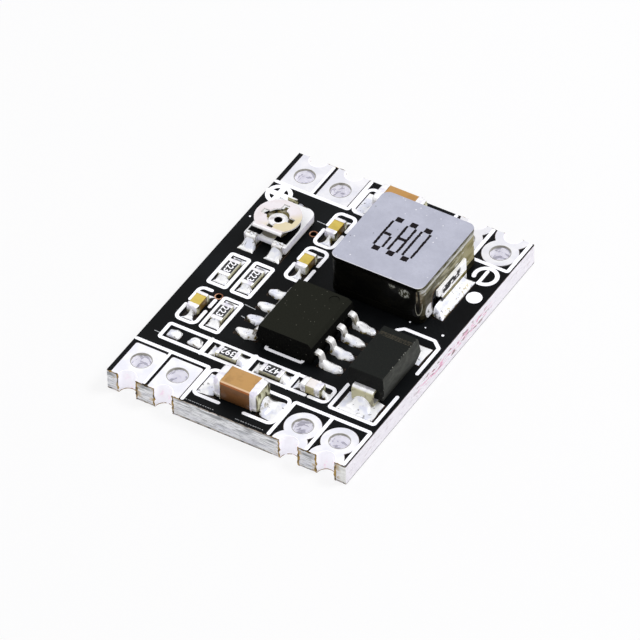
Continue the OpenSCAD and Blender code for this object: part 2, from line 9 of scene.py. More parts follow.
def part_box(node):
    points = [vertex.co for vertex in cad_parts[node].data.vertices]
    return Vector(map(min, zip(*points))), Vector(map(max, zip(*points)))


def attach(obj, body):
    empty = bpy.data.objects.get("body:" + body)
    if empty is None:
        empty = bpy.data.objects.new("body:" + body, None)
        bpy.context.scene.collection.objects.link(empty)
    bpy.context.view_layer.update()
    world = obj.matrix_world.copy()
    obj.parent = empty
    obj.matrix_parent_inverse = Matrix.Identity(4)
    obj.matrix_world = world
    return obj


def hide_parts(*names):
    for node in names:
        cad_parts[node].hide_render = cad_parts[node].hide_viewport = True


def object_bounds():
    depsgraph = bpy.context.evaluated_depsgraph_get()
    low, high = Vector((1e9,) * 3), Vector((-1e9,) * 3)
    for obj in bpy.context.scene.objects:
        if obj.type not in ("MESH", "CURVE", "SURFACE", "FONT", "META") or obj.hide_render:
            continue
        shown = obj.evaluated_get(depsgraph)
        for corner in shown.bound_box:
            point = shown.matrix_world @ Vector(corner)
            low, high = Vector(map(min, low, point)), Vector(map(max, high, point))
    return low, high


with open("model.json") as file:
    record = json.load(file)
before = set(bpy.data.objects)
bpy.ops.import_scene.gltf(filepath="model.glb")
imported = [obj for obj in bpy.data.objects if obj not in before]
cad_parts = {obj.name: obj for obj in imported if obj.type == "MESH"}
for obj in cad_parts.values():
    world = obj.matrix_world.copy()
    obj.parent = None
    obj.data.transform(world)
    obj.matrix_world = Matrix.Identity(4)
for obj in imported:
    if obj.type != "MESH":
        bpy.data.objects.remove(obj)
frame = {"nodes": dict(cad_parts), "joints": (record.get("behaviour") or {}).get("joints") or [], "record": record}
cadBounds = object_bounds()
scene = bpy.context.scene
mm = 0.001
boardLow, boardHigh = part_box("circuit_board")
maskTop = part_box("solder_mask_top")[1].z
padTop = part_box("component_lands")[1].z
mountDims = {mount["name"]: mount["dims"] for mount in frame["record"]["mounts"]}
columns = [mountDims[name]["spacing_x_mm"] / 2 for name in ("outer_pin_holes", "inner_pin_holes")]
halfHole = 0.64  # drilled radius of a half hole, in millimetres
trimmerAxis = Vector(next(joint["pos_m"] for joint in frame["joints"] if joint["name"] == "trimmer_turn"))
padLevel = padTop / mm
print("frame loaded with", len(frame["nodes"]), "nodes")


def corners(node):
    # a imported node's low and high corner in millimetres
    return [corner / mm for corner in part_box(node)]


def middleOf(node):
    low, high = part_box(node)
    return (low + high) / 2


def tone(red, green, blue):
    # a screen colour, 0 to 255, as the linear colour that the nodes take
    def linear(value):
        part = value / 255
        if part <= 0.04045:
            return part / 12.92
        return ((part + 0.055) / 1.055) ** 2.4
    return (linear(red), linear(green), linear(blue), 1.0)


# Camera, lamps and floor

productView = {
    "azimuth": 32.634,  # degrees round from the front edge
    "elevation": 43.468,
    "roll": -1.960,
    "distance": 492.96 * mm,
    "lens": 462.85,
    "sensor": 36.0,
    "aimRight": -0.116 * mm,
    "aimUp": -0.814 * mm,
    "reach": (0.01, 10),  # nearest and farthest that it sees, in metres
}


def makeCamera(view):
    azimuth, elevation, roll = (math.radians(view[key]) for key in ("azimuth", "elevation", "roll"))
    level = math.cos(elevation)
    back = Vector((math.sin(azimuth) * level, -math.cos(azimuth) * level, math.sin(elevation)))
    right = Vector((math.cos(azimuth), math.sin(azimuth), 0))
    up = back.cross(right)
    across = right * math.cos(roll) + up * math.sin(roll)
    above = up * math.cos(roll) - right * math.sin(roll)
    data = bpy.data.cameras.new("productCamera")
    data.lens = view["lens"]
    data.sensor_width = view["sensor"]
    data.clip_start, data.clip_end = view["reach"]
    camera = bpy.data.objects.new("productCamera", data)
    scene.collection.objects.link(camera)
    aim = Vector((0, 0, padTop)) + across * view["aimRight"] + above * view["aimUp"]
    turn = Matrix((across, above, back)).transposed().to_4x4()
    camera.matrix_world = Matrix.Translation(aim + back * view["distance"]) @ turn
    scene.camera = camera


studio = {
    "ambient": 0.50,  # strength of the sky on matt surfaces
    "lamps": [  # name, place in metres, side in metres, light on a surface that faces it
        ("keyLamp", (0.13, 0.10, 0.20), 0.10, 0.46),
        ("fillLamp", (-0.16, 0.02, 0.20), 0.14, 0.14),
        ("frontLamp", (0.02, -0.22, 0.14), 0.12, 0.10),
    ],
    "floorRadius": 0.8,
    "floorColor": (0.93, 0.925, 0.95, 1),
    "floorGlow": 0.8,  # share of the floor's white that the camera sees without any light
}


def makeLamps(light):
    for name, place, side, level in light["lamps"]:
        data = bpy.data.lights.new(name, "AREA")
        data.size = side
        spot = Vector(place)
        data.energy = level * math.pi ** 2 * spot.length_squared
        lamp = bpy.data.objects.new(name, data)
        scene.collection.objects.link(lamp)
        lamp.location = spot
        lamp.rotation_euler = spot.to_track_quat("Z", "Y").to_euler()


def makeSky(light):
    world = bpy.data.worlds.new("paleSky")
    scene.world = world
    world.use_nodes = True
    tree = world.node_tree
    tree.nodes.clear()
    path = tree.nodes.new("ShaderNodeLightPath")
    seen = path.outputs["Is Camera Ray"]
    for name in ("Is Glossy Ray", "Is Transmission Ray"):
        either = tree.nodes.new("ShaderNodeMath")
        either.operation = "MAXIMUM"
        tree.links.new(seen, either.inputs[0])
        tree.links.new(path.outputs[name], either.inputs[1])
        seen = either.outputs[0]
    lit = tree.nodes.new("ShaderNodeBackground")
    lit.inputs["Strength"].default_value = light["ambient"]
    shown = tree.nodes.new("ShaderNodeBackground")
    shown.inputs["Strength"].default_value = 1.0
    for background in (lit, shown):
        background.inputs["Color"].default_value = (1, 1, 1, 1)
    mix = tree.nodes.new("ShaderNodeMixShader")
    tree.links.new(seen, mix.inputs[0])
    tree.links.new(lit.outputs[0], mix.inputs[1])
    tree.links.new(shown.outputs[0], mix.inputs[2])
    out = tree.nodes.new("ShaderNodeOutputWorld")
    tree.links.new(mix.outputs[0], out.inputs["Surface"])


# Shader tools

class Wire:
    # one socket that sums can be written with
    def __init__(self, surface, socket):
        self.surface = surface
        self.socket = socket

    def other(self, name):
        return Wire(self.surface, self.socket.node.outputs[name])

    def __add__(self, value):
        return self.surface.sum("ADD", self, value)

    def __radd__(self, value):
        return self.surface.sum("ADD", value, self)

    def __sub__(self, value):
        return self.surface.sum("SUBTRACT", self, value)

    def __rsub__(self, value):
        return self.surface.sum("SUBTRACT", value, self)

    def __mul__(self, value):
        return self.surface.sum("MULTIPLY", self, value)

    def __rmul__(self, value):
        return self.surface.sum("MULTIPLY", value, self)

    def __abs__(self):
        return self.surface.sum("ABSOLUTE", self, 0)

    def rise(self, low, high):
        # 0 at low, 1 at high, smooth between them
        smooth = {"interpolation_type": "SMOOTHSTEP"}
        return self.surface.node("MapRange", smooth, {0: self, 1: low, 2: high})

    def band(self, middle, half, soft):
        # 1 near the middle, 0 outside it
        return 1 - abs(self - middle).rise(half, half + soft)


class Surface:
    # one material and the nodes that build it, with lengths in millimetres
    def __init__(self, name):
        self.material = bpy.data.materials.new(name)
        self.material.use_nodes = True
        self.tree = self.material.node_tree
        self.tree.nodes.clear()
        place = self.node("TexCoord", out="Object")
        self.spot = self.node("VectorMath", {"operation": "SCALE"}, {0: place, "Scale": 1 / mm})
        self.x, self.y, self.z = self.axes(self.spot)
        self.faceX, self.faceY, self.faceZ = self.axes(self.node("TexCoord", out="Normal"))

    def node(self, kind, settings=None, values=None, out=0):
        made = self.tree.nodes.new("ShaderNode" + kind)
        for key, value in (settings or {}).items():
            setattr(made, key, value)
        for key, value in (values or {}).items():
            if isinstance(value, Wire):
                self.tree.links.new(value.socket, made.inputs[key])
            else:
                made.inputs[key].default_value = value
        return Wire(self, made.outputs[out]) if made.outputs else None

    def sum(self, operation, first, second):
        return self.node("Math", {"operation": operation}, {0: first, 1: second})

    def axes(self, wire):
        first = self.node("SeparateXYZ", values={0: wire})
        return first, first.other("Y"), first.other("Z")

    def noise(self, scale, detail=2.0, stretch=(1, 1, 1), shift=0.0):
        where = self.node("Mapping", values={0: self.spot, 1: (shift, shift, shift), 3: stretch})
        return self.node("TexNoise", values={"Vector": where, "Scale": scale, "Detail": detail})

    def cells(self, scale, stretch=(1, 1, 1)):
        where = self.node("Mapping", values={0: self.spot, 3: stretch})
        return self.node("TexVoronoi", values={"Vector": where, "Scale": scale}, out="Distance")

    def mix(self, share, first, second):
        return self.node("Mix", {"data_type": "RGBA"}, {0: share, 6: first, 7: second}, 2)

    def coats(self, color, *layers):
        # lays coats over a colour one by one, each as its share and its colour
        for share, coat in layers:
            color = self.mix(share, color, coat)
        return color

    def shade(
        self, color, roughness, relief, depth, metallic=0.0, specular=0.5, coat=0.0, glow=0.0, light=None,
    ):
        values = {
            "Base Color": color, "Roughness": roughness, "Metallic": metallic,
            "Specular IOR Level": specular, "Coat Weight": coat,
            "Normal": self.node("Bump", values={"Strength": 1.0, "Distance": depth * mm, "Height": relief}),
        }
        # glow is painted light: the surface shines with its own colour, or the given light, at that strength
        if glow:
            values["Emission Color"] = light or color
            values["Emission Strength"] = glow
        self.node("OutputMaterial", values={"Surface": self.node("BsdfPrincipled", values=values)})
        return self.material


def ellipse(first, second, middle, reach):
    # 0 at the middle, 1 on the outline
    across = (first - middle[0]) * (1 / reach[0])
    upward = (second - middle[1]) * (1 / reach[1])
    return across * across + upward * upward


def makeFloor(light):
    s = Surface("paleFloor")
    seen = s.node("LightPath", out="Is Camera Ray")
    matt = s.node("BsdfDiffuse", values={"Color": light["floorColor"]})
    glow = s.node("Emission", values={"Color": (1, 1, 1, 1), "Strength": 1.0})
    mixed = s.node("MixShader", values={0: seen * light["floorGlow"], 1: matt, 2: glow})
    s.node("OutputMaterial", values={"Surface": mixed})
    bm = bmesh.new()
    bmesh.ops.create_circle(bm, cap_ends=True, segments=64, radius=light["floorRadius"])
    mesh = bpy.data.meshes.new("floor")
    bm.to_mesh(mesh)
    bm.free()
    mesh.materials.append(s.material)
    floor = bpy.data.objects.new("floor", mesh)
    scene.collection.objects.link(floor)
    floor.location.z = cadBounds[0].z


scene.view_settings.view_transform = "Standard"
makeCamera(productView)
makeLamps(studio)
makeSky(studio)
makeFloor(studio)
print("camera, lamps and floor are up")


# Finishes of the board

def laminateFinish():
    # cut glass fibre: streaky grey in front, smooth and pale on the right, brown at the foil; the right face's
    # paler colour is painted light
    s = Surface("laminate")
    bundles = s.noise(1.0, 4, (0.7, 0.7, 5)).rise(0.40, 0.64)
    strands = s.noise(1.0, 3, (1.8, 1.8, 20), 7).rise(0.52, 0.60)
    worn = s.noise(1.3, 3, shift=3)
    broken = s.noise(2.6, 3, (1, 1, 2), 21).rise(0.50, 0.56)
    shadow = s.mix(s.z.rise(0.5, 1.0), tone(228, 229, 236), tone(198, 200, 204))
    front = 1 - s.y.rise(-9, -8)
    near = [1 - (abs(abs(s.x) - column) - halfHole).rise(0.02, 0.5) for column in columns]
    frayed = (near[0] + near[1]) * front
    grey = s.coats(
        s.mix(bundles, tone(251, 252, 254), shadow),
        (strands * 0.5, tone(104, 106, 106)),
        (s.z.band(1.2, 0.13, 0.12) * bundles * 0.5, tone(96, 98, 98)),
        (frayed * 0.6, tone(250, 249, 253)),
        (s.x.rise(7.6, 8.0) * front * 0.7, tone(250, 250, 244)),
    )
    low = (1 - (s.z + worn * 0.14).rise(0.15, 0.20)) * (0.6 + broken * 0.4)
    high = (s.z + worn * 0.12).rise(1.41, 1.46) * (0.5 + broken * 0.5)
    gilt = s.noise(2.2, 3, (1, 1, 1.4), 13).rise(0.55, 0.60) * frayed
    frontColor = s.coats(
        grey,
        (low + high, s.mix(broken, tone(150, 112, 34), tone(52, 42, 22))),
        (gilt * 0.8, tone(186, 154, 82)),
    )
    reach = s.y.rise(-3.5, -1.5) * (1 - s.y.rise(4.5, 6.5))
    stain = s.z.band(0.72, 0.18, 0.14) * s.noise(2.6, 3, (1, 0.7, 3), 11).rise(0.50, 0.56)
    specks = s.z.band(0.75, 0.3, 0.2) * s.noise(3.4, 3, (1, 0.5, 2), 31).rise(0.58, 0.62)
    rightColor = s.coats(
        tone(250, 247, 253),
        (strands * 0.25, tone(222, 214, 234)),
        (stain * reach * 0.65, tone(234, 124, 178)),
        (specks * (reach * 0.7 + 0.2), tone(140, 108, 108)),
        (1 - s.z.rise(0.03, 0.07), tone(104, 92, 96)),
        ((s.z + worn * 0.1).rise(1.43, 1.47), tone(78, 62, 46)),
    )
    color = s.coats(
        frontColor,
        (s.faceX.rise(0.5, 0.7), rightColor),
        (abs(s.faceZ).rise(0.5, 0.7), tone(58, 36, 20)),
    )
    return s.shade(color, 0.55, bundles + strands * 0.5, 0.012)


def maskFinish():
    s = Surface("blackMask")
    cloud = s.noise(0.35, 2)
    color = s.mix(cloud.rise(0.35, 0.7), tone(9, 10, 12), tone(18, 20, 22))
    return s.shade(color, 0.42 + cloud * 0.12, s.noise(14, 2), 0.0015, specular=0.06)


def patchyFinish(name, first, second, spread, rough, metallic, depth, specular=0.5):
    # one colour that gives way to another in soft patches
    s = Surface(name)
    cloud = s.noise(3.0, 3).rise(*spread)
    return s.shade(s.mix(cloud, first, second), rough, cloud, depth, metallic, specular)


def padFinish():
    # levelled tin; the back row mirrors less than the front row
    s = Surface("levelledTin")
    cloud = s.noise(0.9, 3)
    grain = s.noise(9, 3)
    color = s.mix(cloud.rise(0.35, 0.7), tone(234, 234, 243), tone(250, 249, 253))
    return s.shade(color, 0.30 + grain * 0.15, cloud + grain * 0.2, 0.02, 0.85 - s.y.rise(4, 8) * 0.75)


def platingFinish():
    # bright barrels with dull wisps and a darker rim; the half holes are brown along their foot; the plating glows
    # a little, painted light that brightens the insides of the holes
    s = Surface("barrelPlating")
    inside = 1 - abs(s.y).rise(10.2, 10.4)
    wisp = s.noise(2.0, 5, (1, 1, 2.0)).rise(0.48, 0.60)
    rim = (s.z + s.noise(2.0, 2) * 0.3).rise(1.44, 1.56)
    blush = s.noise(2.4, 3, shift=4).rise(0.62, 0.70)
    frayed = s.noise(3.4, 3, shift=9)
    foot = (1 - (s.z + frayed * 0.1).rise(0.10, 0.13)) * frayed.rise(0.36, 0.44)
    color = s.coats(
        tone(248, 247, 253),
        (wisp * inside * 0.7, tone(150, 148, 160)),
        (rim * inside * 0.8, tone(112, 108, 84)),
        (blush * (1 - inside) * 0.6, tone(250, 214, 226)),
        (foot * (1 - inside), tone(132, 102, 42)),
    )
    return s.shade(color, 0.34, s.noise(4, 3), 0.02, 0.1, glow=0.18)


def copperFinish(name, dull, bright):
    # copper that is bright in patches; where it stands it is painted near black, as painted shade
    s = Surface(name)
    cloud = s.noise(1.7, 2, shift=3).rise(0.44, 0.60)
    color = s.mix(abs(s.faceZ).rise(0.4, 0.7), tone(8, 7, 6), s.mix(cloud, dull, bright))
    return s.shade(color, 0.5, cloud, 0.004, 0.1, 0.02)


# Finishes of the parts

def epoxyFinish(name, top, side, speck, dust):
    # matt moulded epoxy with filler specks; the sides are painted a little darker than the top: painted shade
    s = Surface(name)
    grain = s.noise(11, 3)
    specks = (1 - s.cells(3.4).rise(0.05, 0.12)) * s.noise(1.7, 1).rise(0.44, 0.54)
    color = s.coats(
        s.mix(s.faceZ.rise(0.3, 0.8), side, top),
        ((grain - 0.42) * 0.6, tone(50, 50, 42)),
        (specks * dust, speck),
    )
    return s, color, grain + s.noise(34, 2) * 0.6


def regulatorFinish():
    s, color, relief = epoxyFinish(
        "regulatorEpoxy", tone(38, 39, 34), tone(17, 17, 17), tone(150, 148, 136), 0.45,
    )
    return s.shade(color, 0.8, relief, 0.02, specular=0.0)


def diodeFinish():
    # faint worn lines across the back of the top; a right side painted lighter in patches and towards the top, as
    # painted light, with pale dots along its upper edge
    s, color, relief = epoxyFinish(
        "diodeEpoxy", tone(14, 17, 16), tone(6, 7, 7), tone(110, 110, 100), 0.25,
    )
    low, high = corners("diode_body")
    lines = sum((s.y.band(high.y - back, 0.012, 0.014) for back in (0.62, 0.70, 0.80, 0.90)), 0.0)
    worn = s.noise(4.5, 3, (3, 1, 1)).rise(0.30, 0.55)
    span = s.x.band((low.x + high.x) / 2, 1.08, 0.04)
    paintedRightLight = 0.35 + s.noise(2.0, 4, (1, 1, 2)).rise(0.35, 0.75) * 0.3
    chips = s.noise(3.0, 4, (1, 2, 1), 8).rise(0.58, 0.66)
    color = s.coats(
        color,
        (lines * worn * span * s.faceZ.rise(0.8, 0.9) * 0.5, tone(104, 96, 80)),
        (s.faceX.rise(0.6, 0.8) * paintedRightLight * (0.4 + s.z.rise(2.0, 3.2) * 0.6), tone(88, 90, 84)),
        (s.faceX.band(0.5, 0.25, 0.15) * chips, tone(180, 180, 172)),
    )
    return s.shade(color, 0.55, relief, 0.006, specular=0.1)


def coilFlank(s, color):
    # beside the clip's front end: a tinned smear, and a hollow where the tail comes down, painted black as painted
    # shade
    flank = s.x.rise(5.6, 5.7)
    smear = 1 - ellipse(s.y + s.z * 0.25, s.z, (2.98, 2.05), (0.56, 0.62)).rise(0.75, 1.05)
    broken = s.noise(3.2, 3, (1, 1, 0.8), 4).rise(0.32, 0.40)
    hollow = ellipse(s.y, s.z, (3.18, 2.38), (0.55, 0.85))
    return s.coats(
        color,
        (smear * broken * s.faceX.rise(0.5, 0.8), tone(246, 246, 250)),
        (hollow.band(1.1, 0.16, 0.16) * flank * 0.7, tone(84, 62, 34)),
        ((1 - hollow.rise(0.85, 1.0)) * flank, tone(5, 5, 5)),
    )


def ferriteFinish():
    # a grey ground top; the sides are dark in front, and streaked olive and pale on the right, which is painted
    # light
    s = Surface("greyFerrite")
    low, high = corners("inductor_core")
    cloud = s.noise(0.7, 3)
    grain = s.noise(16, 3)
    mottle = s.noise(5, 3, shift=2).rise(0.35, 0.70)
    glints = (1 - s.cells(2.0).rise(0.05, 0.12)) * s.noise(1.2, 2, shift=5).rise(0.42, 0.54)
    pits = (1 - s.cells(1.7, (1, 1, 1.3)).rise(0.03, 0.10)) * s.noise(1.5, 2, shift=9).rise(0.44, 0.54)
    # rim: a painted highlight along the top's front edge
    rim = (0 - s.faceY).band(0.50, 0.22, 0.1) * s.faceZ.rise(0.45, 0.60)
    top = s.coats(
        s.mix(cloud.rise(0.3, 0.7), tone(187, 189, 205), tone(197, 199, 215)),
        ((grain - 0.4) * 0.5, tone(150, 150, 164)),
        (mottle * 0.25, tone(174, 175, 191)),
        (glints * 0.9, tone(246, 246, 252)),
        (pits * 0.8, tone(96, 94, 96)),
        (rim, tone(246, 245, 250)),
    )
    streak = s.noise(1.6, 4, (1, 1, 6)).rise(0.40, 0.60)
    side = s.coats(
        s.mix(streak, tone(92, 88, 58), tone(204, 204, 198)),
        (s.z.band(high.z - 0.06, 0.035, 0.02), tone(70, 66, 36)),
        (s.z.band(high.z - 0.17, 0.02, 0.02), tone(44, 42, 26)),
    )
    front = s.mix(s.noise(2.0, 4, (1, 1, 4), 4).rise(0.60, 0.75), tone(8, 8, 6), tone(60, 56, 40))
    base = s.mix(streak * s.faceX.rise(0.5, 0.8) * 0.4, tone(10, 10, 8), tone(66, 60, 38))
    upright = s.coats(
        coilFlank(s, base),
        (s.z.rise(low.z + 0.75, low.z + 0.85), s.mix(s.faceX.rise(0.3, 0.7), front, side)),
    )
    # faces that look up below the top keep the dark side colours, so the lower plate's ledge shows no light:
    # painted shade
    ground = s.faceZ.rise(0.4, 0.6) * s.z.rise(high.z - 0.3, high.z - 0.25)
    return s.shade(s.mix(ground, upright, top), 0.6, grain + cloud, 0.006, specular=0.02)


def resinFinish():
    # dark glossy filling: nearly black in front, olive on the right as painted light, with loops and flecks
    s = Surface("darkResin")
    low, high = corners("inductor_resin")
    cloud = s.noise(1.0, 3, (1, 1, 1.6))
    nest = 1 - ellipse(s.x, s.z, (4.93, 3.72), (0.42, 0.38)).rise(0.3, 1.2)
    nest = nest + (1 - ellipse(s.x, s.z, (4.08, 3.90), (0.26, 0.22)).rise(0.3, 1.2)) * 0.6
    flecks = s.noise(5.5, 4).rise(0.48, 0.58) * nest
    black = s.coats(
        s.mix(cloud.rise(0.4, 0.8), tone(6, 6, 5), tone(16, 15, 11)),
        (nest * 0.45, tone(74, 72, 48)),
        (flecks * 0.9, tone(196, 198, 190)),
    )
    streaks = s.noise(1.3, 4, (0.6, 0.6, 3)).rise(0.42, 0.62)
    shine = s.noise(2.8, 4, (1, 0.5, 2), 6).rise(0.60, 0.66)
    olive = s.coats(
        s.mix(streaks, tone(88, 84, 56), tone(158, 154, 128)),
        (s.y.rise(low.y + 3, high.y) * 0.6, tone(150, 138, 78)),
        (shine * 0.9, tone(236, 236, 232)),
        (s.z.band(high.z - 0.12, 0.06, 0.06) * 0.8, tone(206, 206, 204)),
        ((1 - s.y.rise(2.5, 3.7)) * (1 - s.z.rise(3.5, 4.1)) * 0.85, tone(50, 44, 26)),
    )
    ribs = s.noise(1.0, 3, (6, 6, 0.5)).rise(0.45, 0.60)
    corner = s.faceX.band(0.62, 0.25, 0.15) * ribs * s.z.rise(2.8, 3.6)
    loop = ellipse(s.x, s.z, (5.86, 2.95), (0.17, 0.66)).band(1.0, 0.10, 0.16)
    color = s.coats(
        black,
        (s.faceX.rise(0.55, 0.95), olive),
        (corner * 0.45, s.mix(streaks, tone(196, 186, 160), tone(110, 74, 36))),
        (loop * (1 - s.z.rise(2.9, 3.3)) * 0.7, tone(176, 174, 160)),
    )
    relief = s.noise(2.2, 3) + flecks * 0.3
    return s.shade(coilFlank(s, color), 0.4, relief, 0.04, specular=0.1, coat=0.08)


def ceramicFinish(name, top, side, dark, edgeHighlight=None):
    # fired ceramic; its sides are painted darker than its top, and darker still to its foot, as painted shade; an
    # edge highlight is a pale painted highlight along the front top edge of one chip, over an orange line that is
    # painted highlight too
    s = Surface(name)
    cloud = s.noise(1.8, 3)
    foot = (1 - s.z.rise(padLevel, padLevel + 0.9)) * (1 - s.faceZ.rise(0.3, 0.6))
    color = s.coats(
        s.mix(s.faceZ.rise(0.15, 0.85), side, top),
        (cloud.rise(0.45, 0.8) * 0.25, dark),
        (foot * 0.7, dark),
    )
    if edgeHighlight:
        node, pale = edgeHighlight
        low, high = corners(node)
        front = 1 - s.y.rise(low.y + 0.05, low.y + 0.1)
        color = s.coats(
            color,
            (s.z.band(high.z - 0.16, 0.05, 0.08) * front * 0.6, tone(206, 112, 40)),
            (s.z.band(high.z - 0.05, 0.035, 0.03) * front * s.noise(2.0, 3).rise(0.30, 0.50), pale),
        )
    return s.shade(color, 0.42, cloud + s.noise(12, 3) * 0.4, 0.006, specular=0.3, coat=0.1)


def aluminaFinish(name, side, foot, window=False):
    # white ceramic that glows a little as painted light; its standing faces are painted with the colour of what is
    # beside them, a painted reflection, and darken to the foot as painted shade
    s = Surface(name)
    cloud = s.noise(2.0, 2)
    color = s.coats(
        s.mix(cloud, tone(246, 246, 251), tone(252, 252, 254)),
        (1 - s.faceZ.rise(0.2, 0.7), s.mix(s.z.rise(padLevel + 0.05, padLevel + 0.32), foot, side)),
    )
    light = s.mix(0.8, color, tone(0, 0, 0))
    if window:
        # olive and white spots that show through the dial's openings; the white spot also glows white, painted
        # light
        spot = trimmerAxis / mm
        under = 1 - ellipse(s.x, s.y, spot, (1.3, 1.3)).rise(0.9, 1.0)
        bright = 1 - ellipse(s.x, s.y, (spot.x - 1.25, spot.y + 0.1), (0.5, 0.7)).rise(0.9, 1.0)
        color = s.coats(
            color,
            (under, s.mix(cloud.rise(0.4, 0.6), tone(150, 138, 84), tone(96, 84, 40))),
            (bright, tone(255, 255, 255)),
        )
        light = s.mix(bright, light, tone(255, 255, 255))
    return s.shade(color, 0.38, s.noise(10, 3), 0.003, glow=0.3, light=light)


def darkFinish(name, scale, dark, pale, rough, depth, specular=0.5):
    s = Surface(name)
    cloud = s.noise(scale, 2)
    return s.shade(s.mix(cloud, dark, pale), rough, cloud, depth, specular=specular)


def metalFinish(name, light, dull, tint, dark, metallic, turn, glow, away=0.0):
    # plated metal: light where it lies flat, tinted where it stands with painted reflections of its dark
    # surroundings in patches; faces turned back, and turned left by the share away, are painted dark as painted
    # shade; the glow is painted light
    s = Surface(name)
    cloud = s.noise(2.6, 3)
    fine = s.noise(11, 3)
    mirrored = s.noise(1.9, 3, (1.2, 1.2, 0.8), 5).rise(0.47, 0.60)
    color = s.coats(
        s.mix(cloud.rise(0.42, 0.68), light, dull),
        ((1 - s.faceZ.rise(*turn)) * 0.85, s.mix(mirrored, tint, dark)),
        (s.faceY.rise(0.3, 0.7) * 0.8, dark),
        ((0 - s.faceX).rise(0.2, 0.5) * away, tone(24, 22, 18)),
    )
    return s.shade(color, 0.28 + fine * 0.1, cloud + fine * 0.2, 0.015, metallic, glow=glow)


def chipMetalFinish():
    # dipped ends: white on the top and the front; on the right and at the foot, olive and dark streaks of painted
    # reflection; faces turned back are painted dark as painted shade; the glow is painted light
    s = Surface("chipEnd")
    cloud = s.noise(2.2, 3)
    streaks = s.noise(2.6, 3, (1.6, 1.6, 0.6), 5)
    olive = s.coats(
        s.mix(streaks.rise(0.42, 0.56), tone(206, 204, 170), tone(88, 82, 44)),
        (streaks.rise(0.60, 0.66), tone(30, 28, 18)),
    )
    right = s.faceX.rise(0.30, 0.75) * (1 - s.faceZ.rise(0.45, 0.75))
    foot = (1 - s.z.rise(padLevel + 0.15, padLevel + 0.55)) * (1 - s.faceZ.rise(0.3, 0.6))
    color = s.coats(
        s.mix(cloud.rise(0.45, 0.70), tone(252, 251, 254), tone(226, 222, 238)),
        (right, olive),
        (foot * streaks.rise(0.36, 0.52) * 0.9, tone(112, 106, 66)),
        (s.faceY.rise(0.55, 0.85) * 0.8, tone(62, 54, 28)),
    )
    return s.shade(color, 0.30, cloud, 0.02, 0.35, glow=0.04)


def rivetFinish():
    # a bright flare round a bore painted dark as painted shade; the strip behind is olive where it stands, painted
    # shade; the glow is painted light
    s = Surface("rivetMetal")
    fromAxis = s.node("VectorMath", {"operation": "SUBTRACT"}, {0: s.spot, 1: trimmerAxis / mm})
    level = s.node("VectorMath", {"operation": "MULTIPLY"}, {0: fromAxis, 1: (1, 1, 0)})
    radius = s.node("VectorMath", {"operation": "LENGTH"}, {0: level}, "Value")
    cloud = s.noise(2.4, 3)
    olive = s.mix(cloud.rise(0.45, 0.55), tone(196, 190, 150), tone(92, 84, 44))
    color = s.coats(
        s.mix(cloud.rise(0.52, 0.64), tone(253, 252, 254), tone(206, 202, 204)),
        (1 - s.faceZ.rise(0.2, 0.6), olive),
        (1 - radius.rise(0.25, 0.27), tone(12, 11, 9)),
    )
    return s.shade(color, 0.3, cloud, 0.02, 0.2, glow=0.05)


def rotorFinish():
    # pinkish plating, yellower towards the front; the fold and the standing faces carry a painted highlight, faces
    # that look down are painted dark olive as painted shade, and the parts inside are olive and cream, darker to
    # the right and where they stand, as painted shade
    s = Surface("platedRotor")
    low, high = corners("trimmer_rotor")
    middle = (low + high) / 2
    cloud = s.noise(1.3, 3)
    patch = s.noise(1.7, 2, shift=2)
    slant = (s.x - s.y - (middle.x - middle.y)) * 0.7
    foldHighlight = (1 - (s.y - low.y).rise(0.10, 0.18)) * s.z.rise(high.z - 0.16, high.z - 0.12)
    stand = 1 - s.faceZ.rise(0.25, 0.6)
    inside = s.coats(
        s.mix(patch.rise(0.40, 0.50), tone(232, 226, 206), tone(132, 120, 66)),
        (patch.rise(0.56, 0.62), tone(44, 38, 18)),
        ((s.x - middle.x).rise(0.45, 0.60), tone(104, 88, 44)),
        (stand * 0.7, tone(60, 52, 26)),
    )
    color = s.coats(
        s.mix(cloud.rise(0.3, 0.7), tone(244, 238, 244), tone(236, 226, 227)),
        (slant.rise(0.1, 0.8) * (s.y - low.y).rise(0.25, 0.4) * 0.85, tone(228, 214, 170)),
        (foldHighlight, tone(253, 251, 254)),
        (stand, tone(252, 250, 252)),
        (1 - s.faceZ.rise(-0.55, -0.2), tone(70, 64, 40)),
        (1 - s.z.rise(high.z - 0.17, high.z - 0.13), inside),
    )
    return s.shade(color, 0.34, cloud, 0.008, 0.2)


def clipFinish():
    # tin over steel, rough where it was cut: black pits, an olive crease and a lower front corner painted black as
    # painted shade; the clip glows, painted light
    s = Surface("pittedClip")
    top = corners("inductor_clip_right")[1].z
    cloud = s.noise(1.6, 4, (1, 1, 1.4))
    pits = s.noise(1.9, 3, (1, 1.1, 2.0), 2).rise(0.42, 0.46)
    pits = pits * s.z.band(top - 0.42, 0.22, 0.10) * s.y.band(4.6, 0.9, 0.3)
    crack = s.z.band(top - 1.10, 0.03, 0.04) * s.noise(3, 2, shift=1).rise(0.4, 0.5)
    # the lower front corner is painted black: painted shade
    cut = 1 - ((s.y - 3.08) * 1.15 + (s.z - 1.9) * 1.18).rise(0.95, 1.05)
    color = s.coats(
        s.mix(cloud.rise(0.4, 0.7), tone(254, 254, 255), tone(240, 239, 240)),
        (s.z.band(top - 1.04, 0.13, 0.05), tone(118, 108, 44)),
        (crack, tone(44, 38, 16)),
        (pits, tone(14, 14, 15)),
        (cut, tone(8, 8, 7)),
    )
    bare = (1 - pits) * (1 - cut) * 0.3
    return s.shade(color, 0.3 + pits * 0.4, cloud - pits * 1.2, 0.04, bare, glow=0.26)


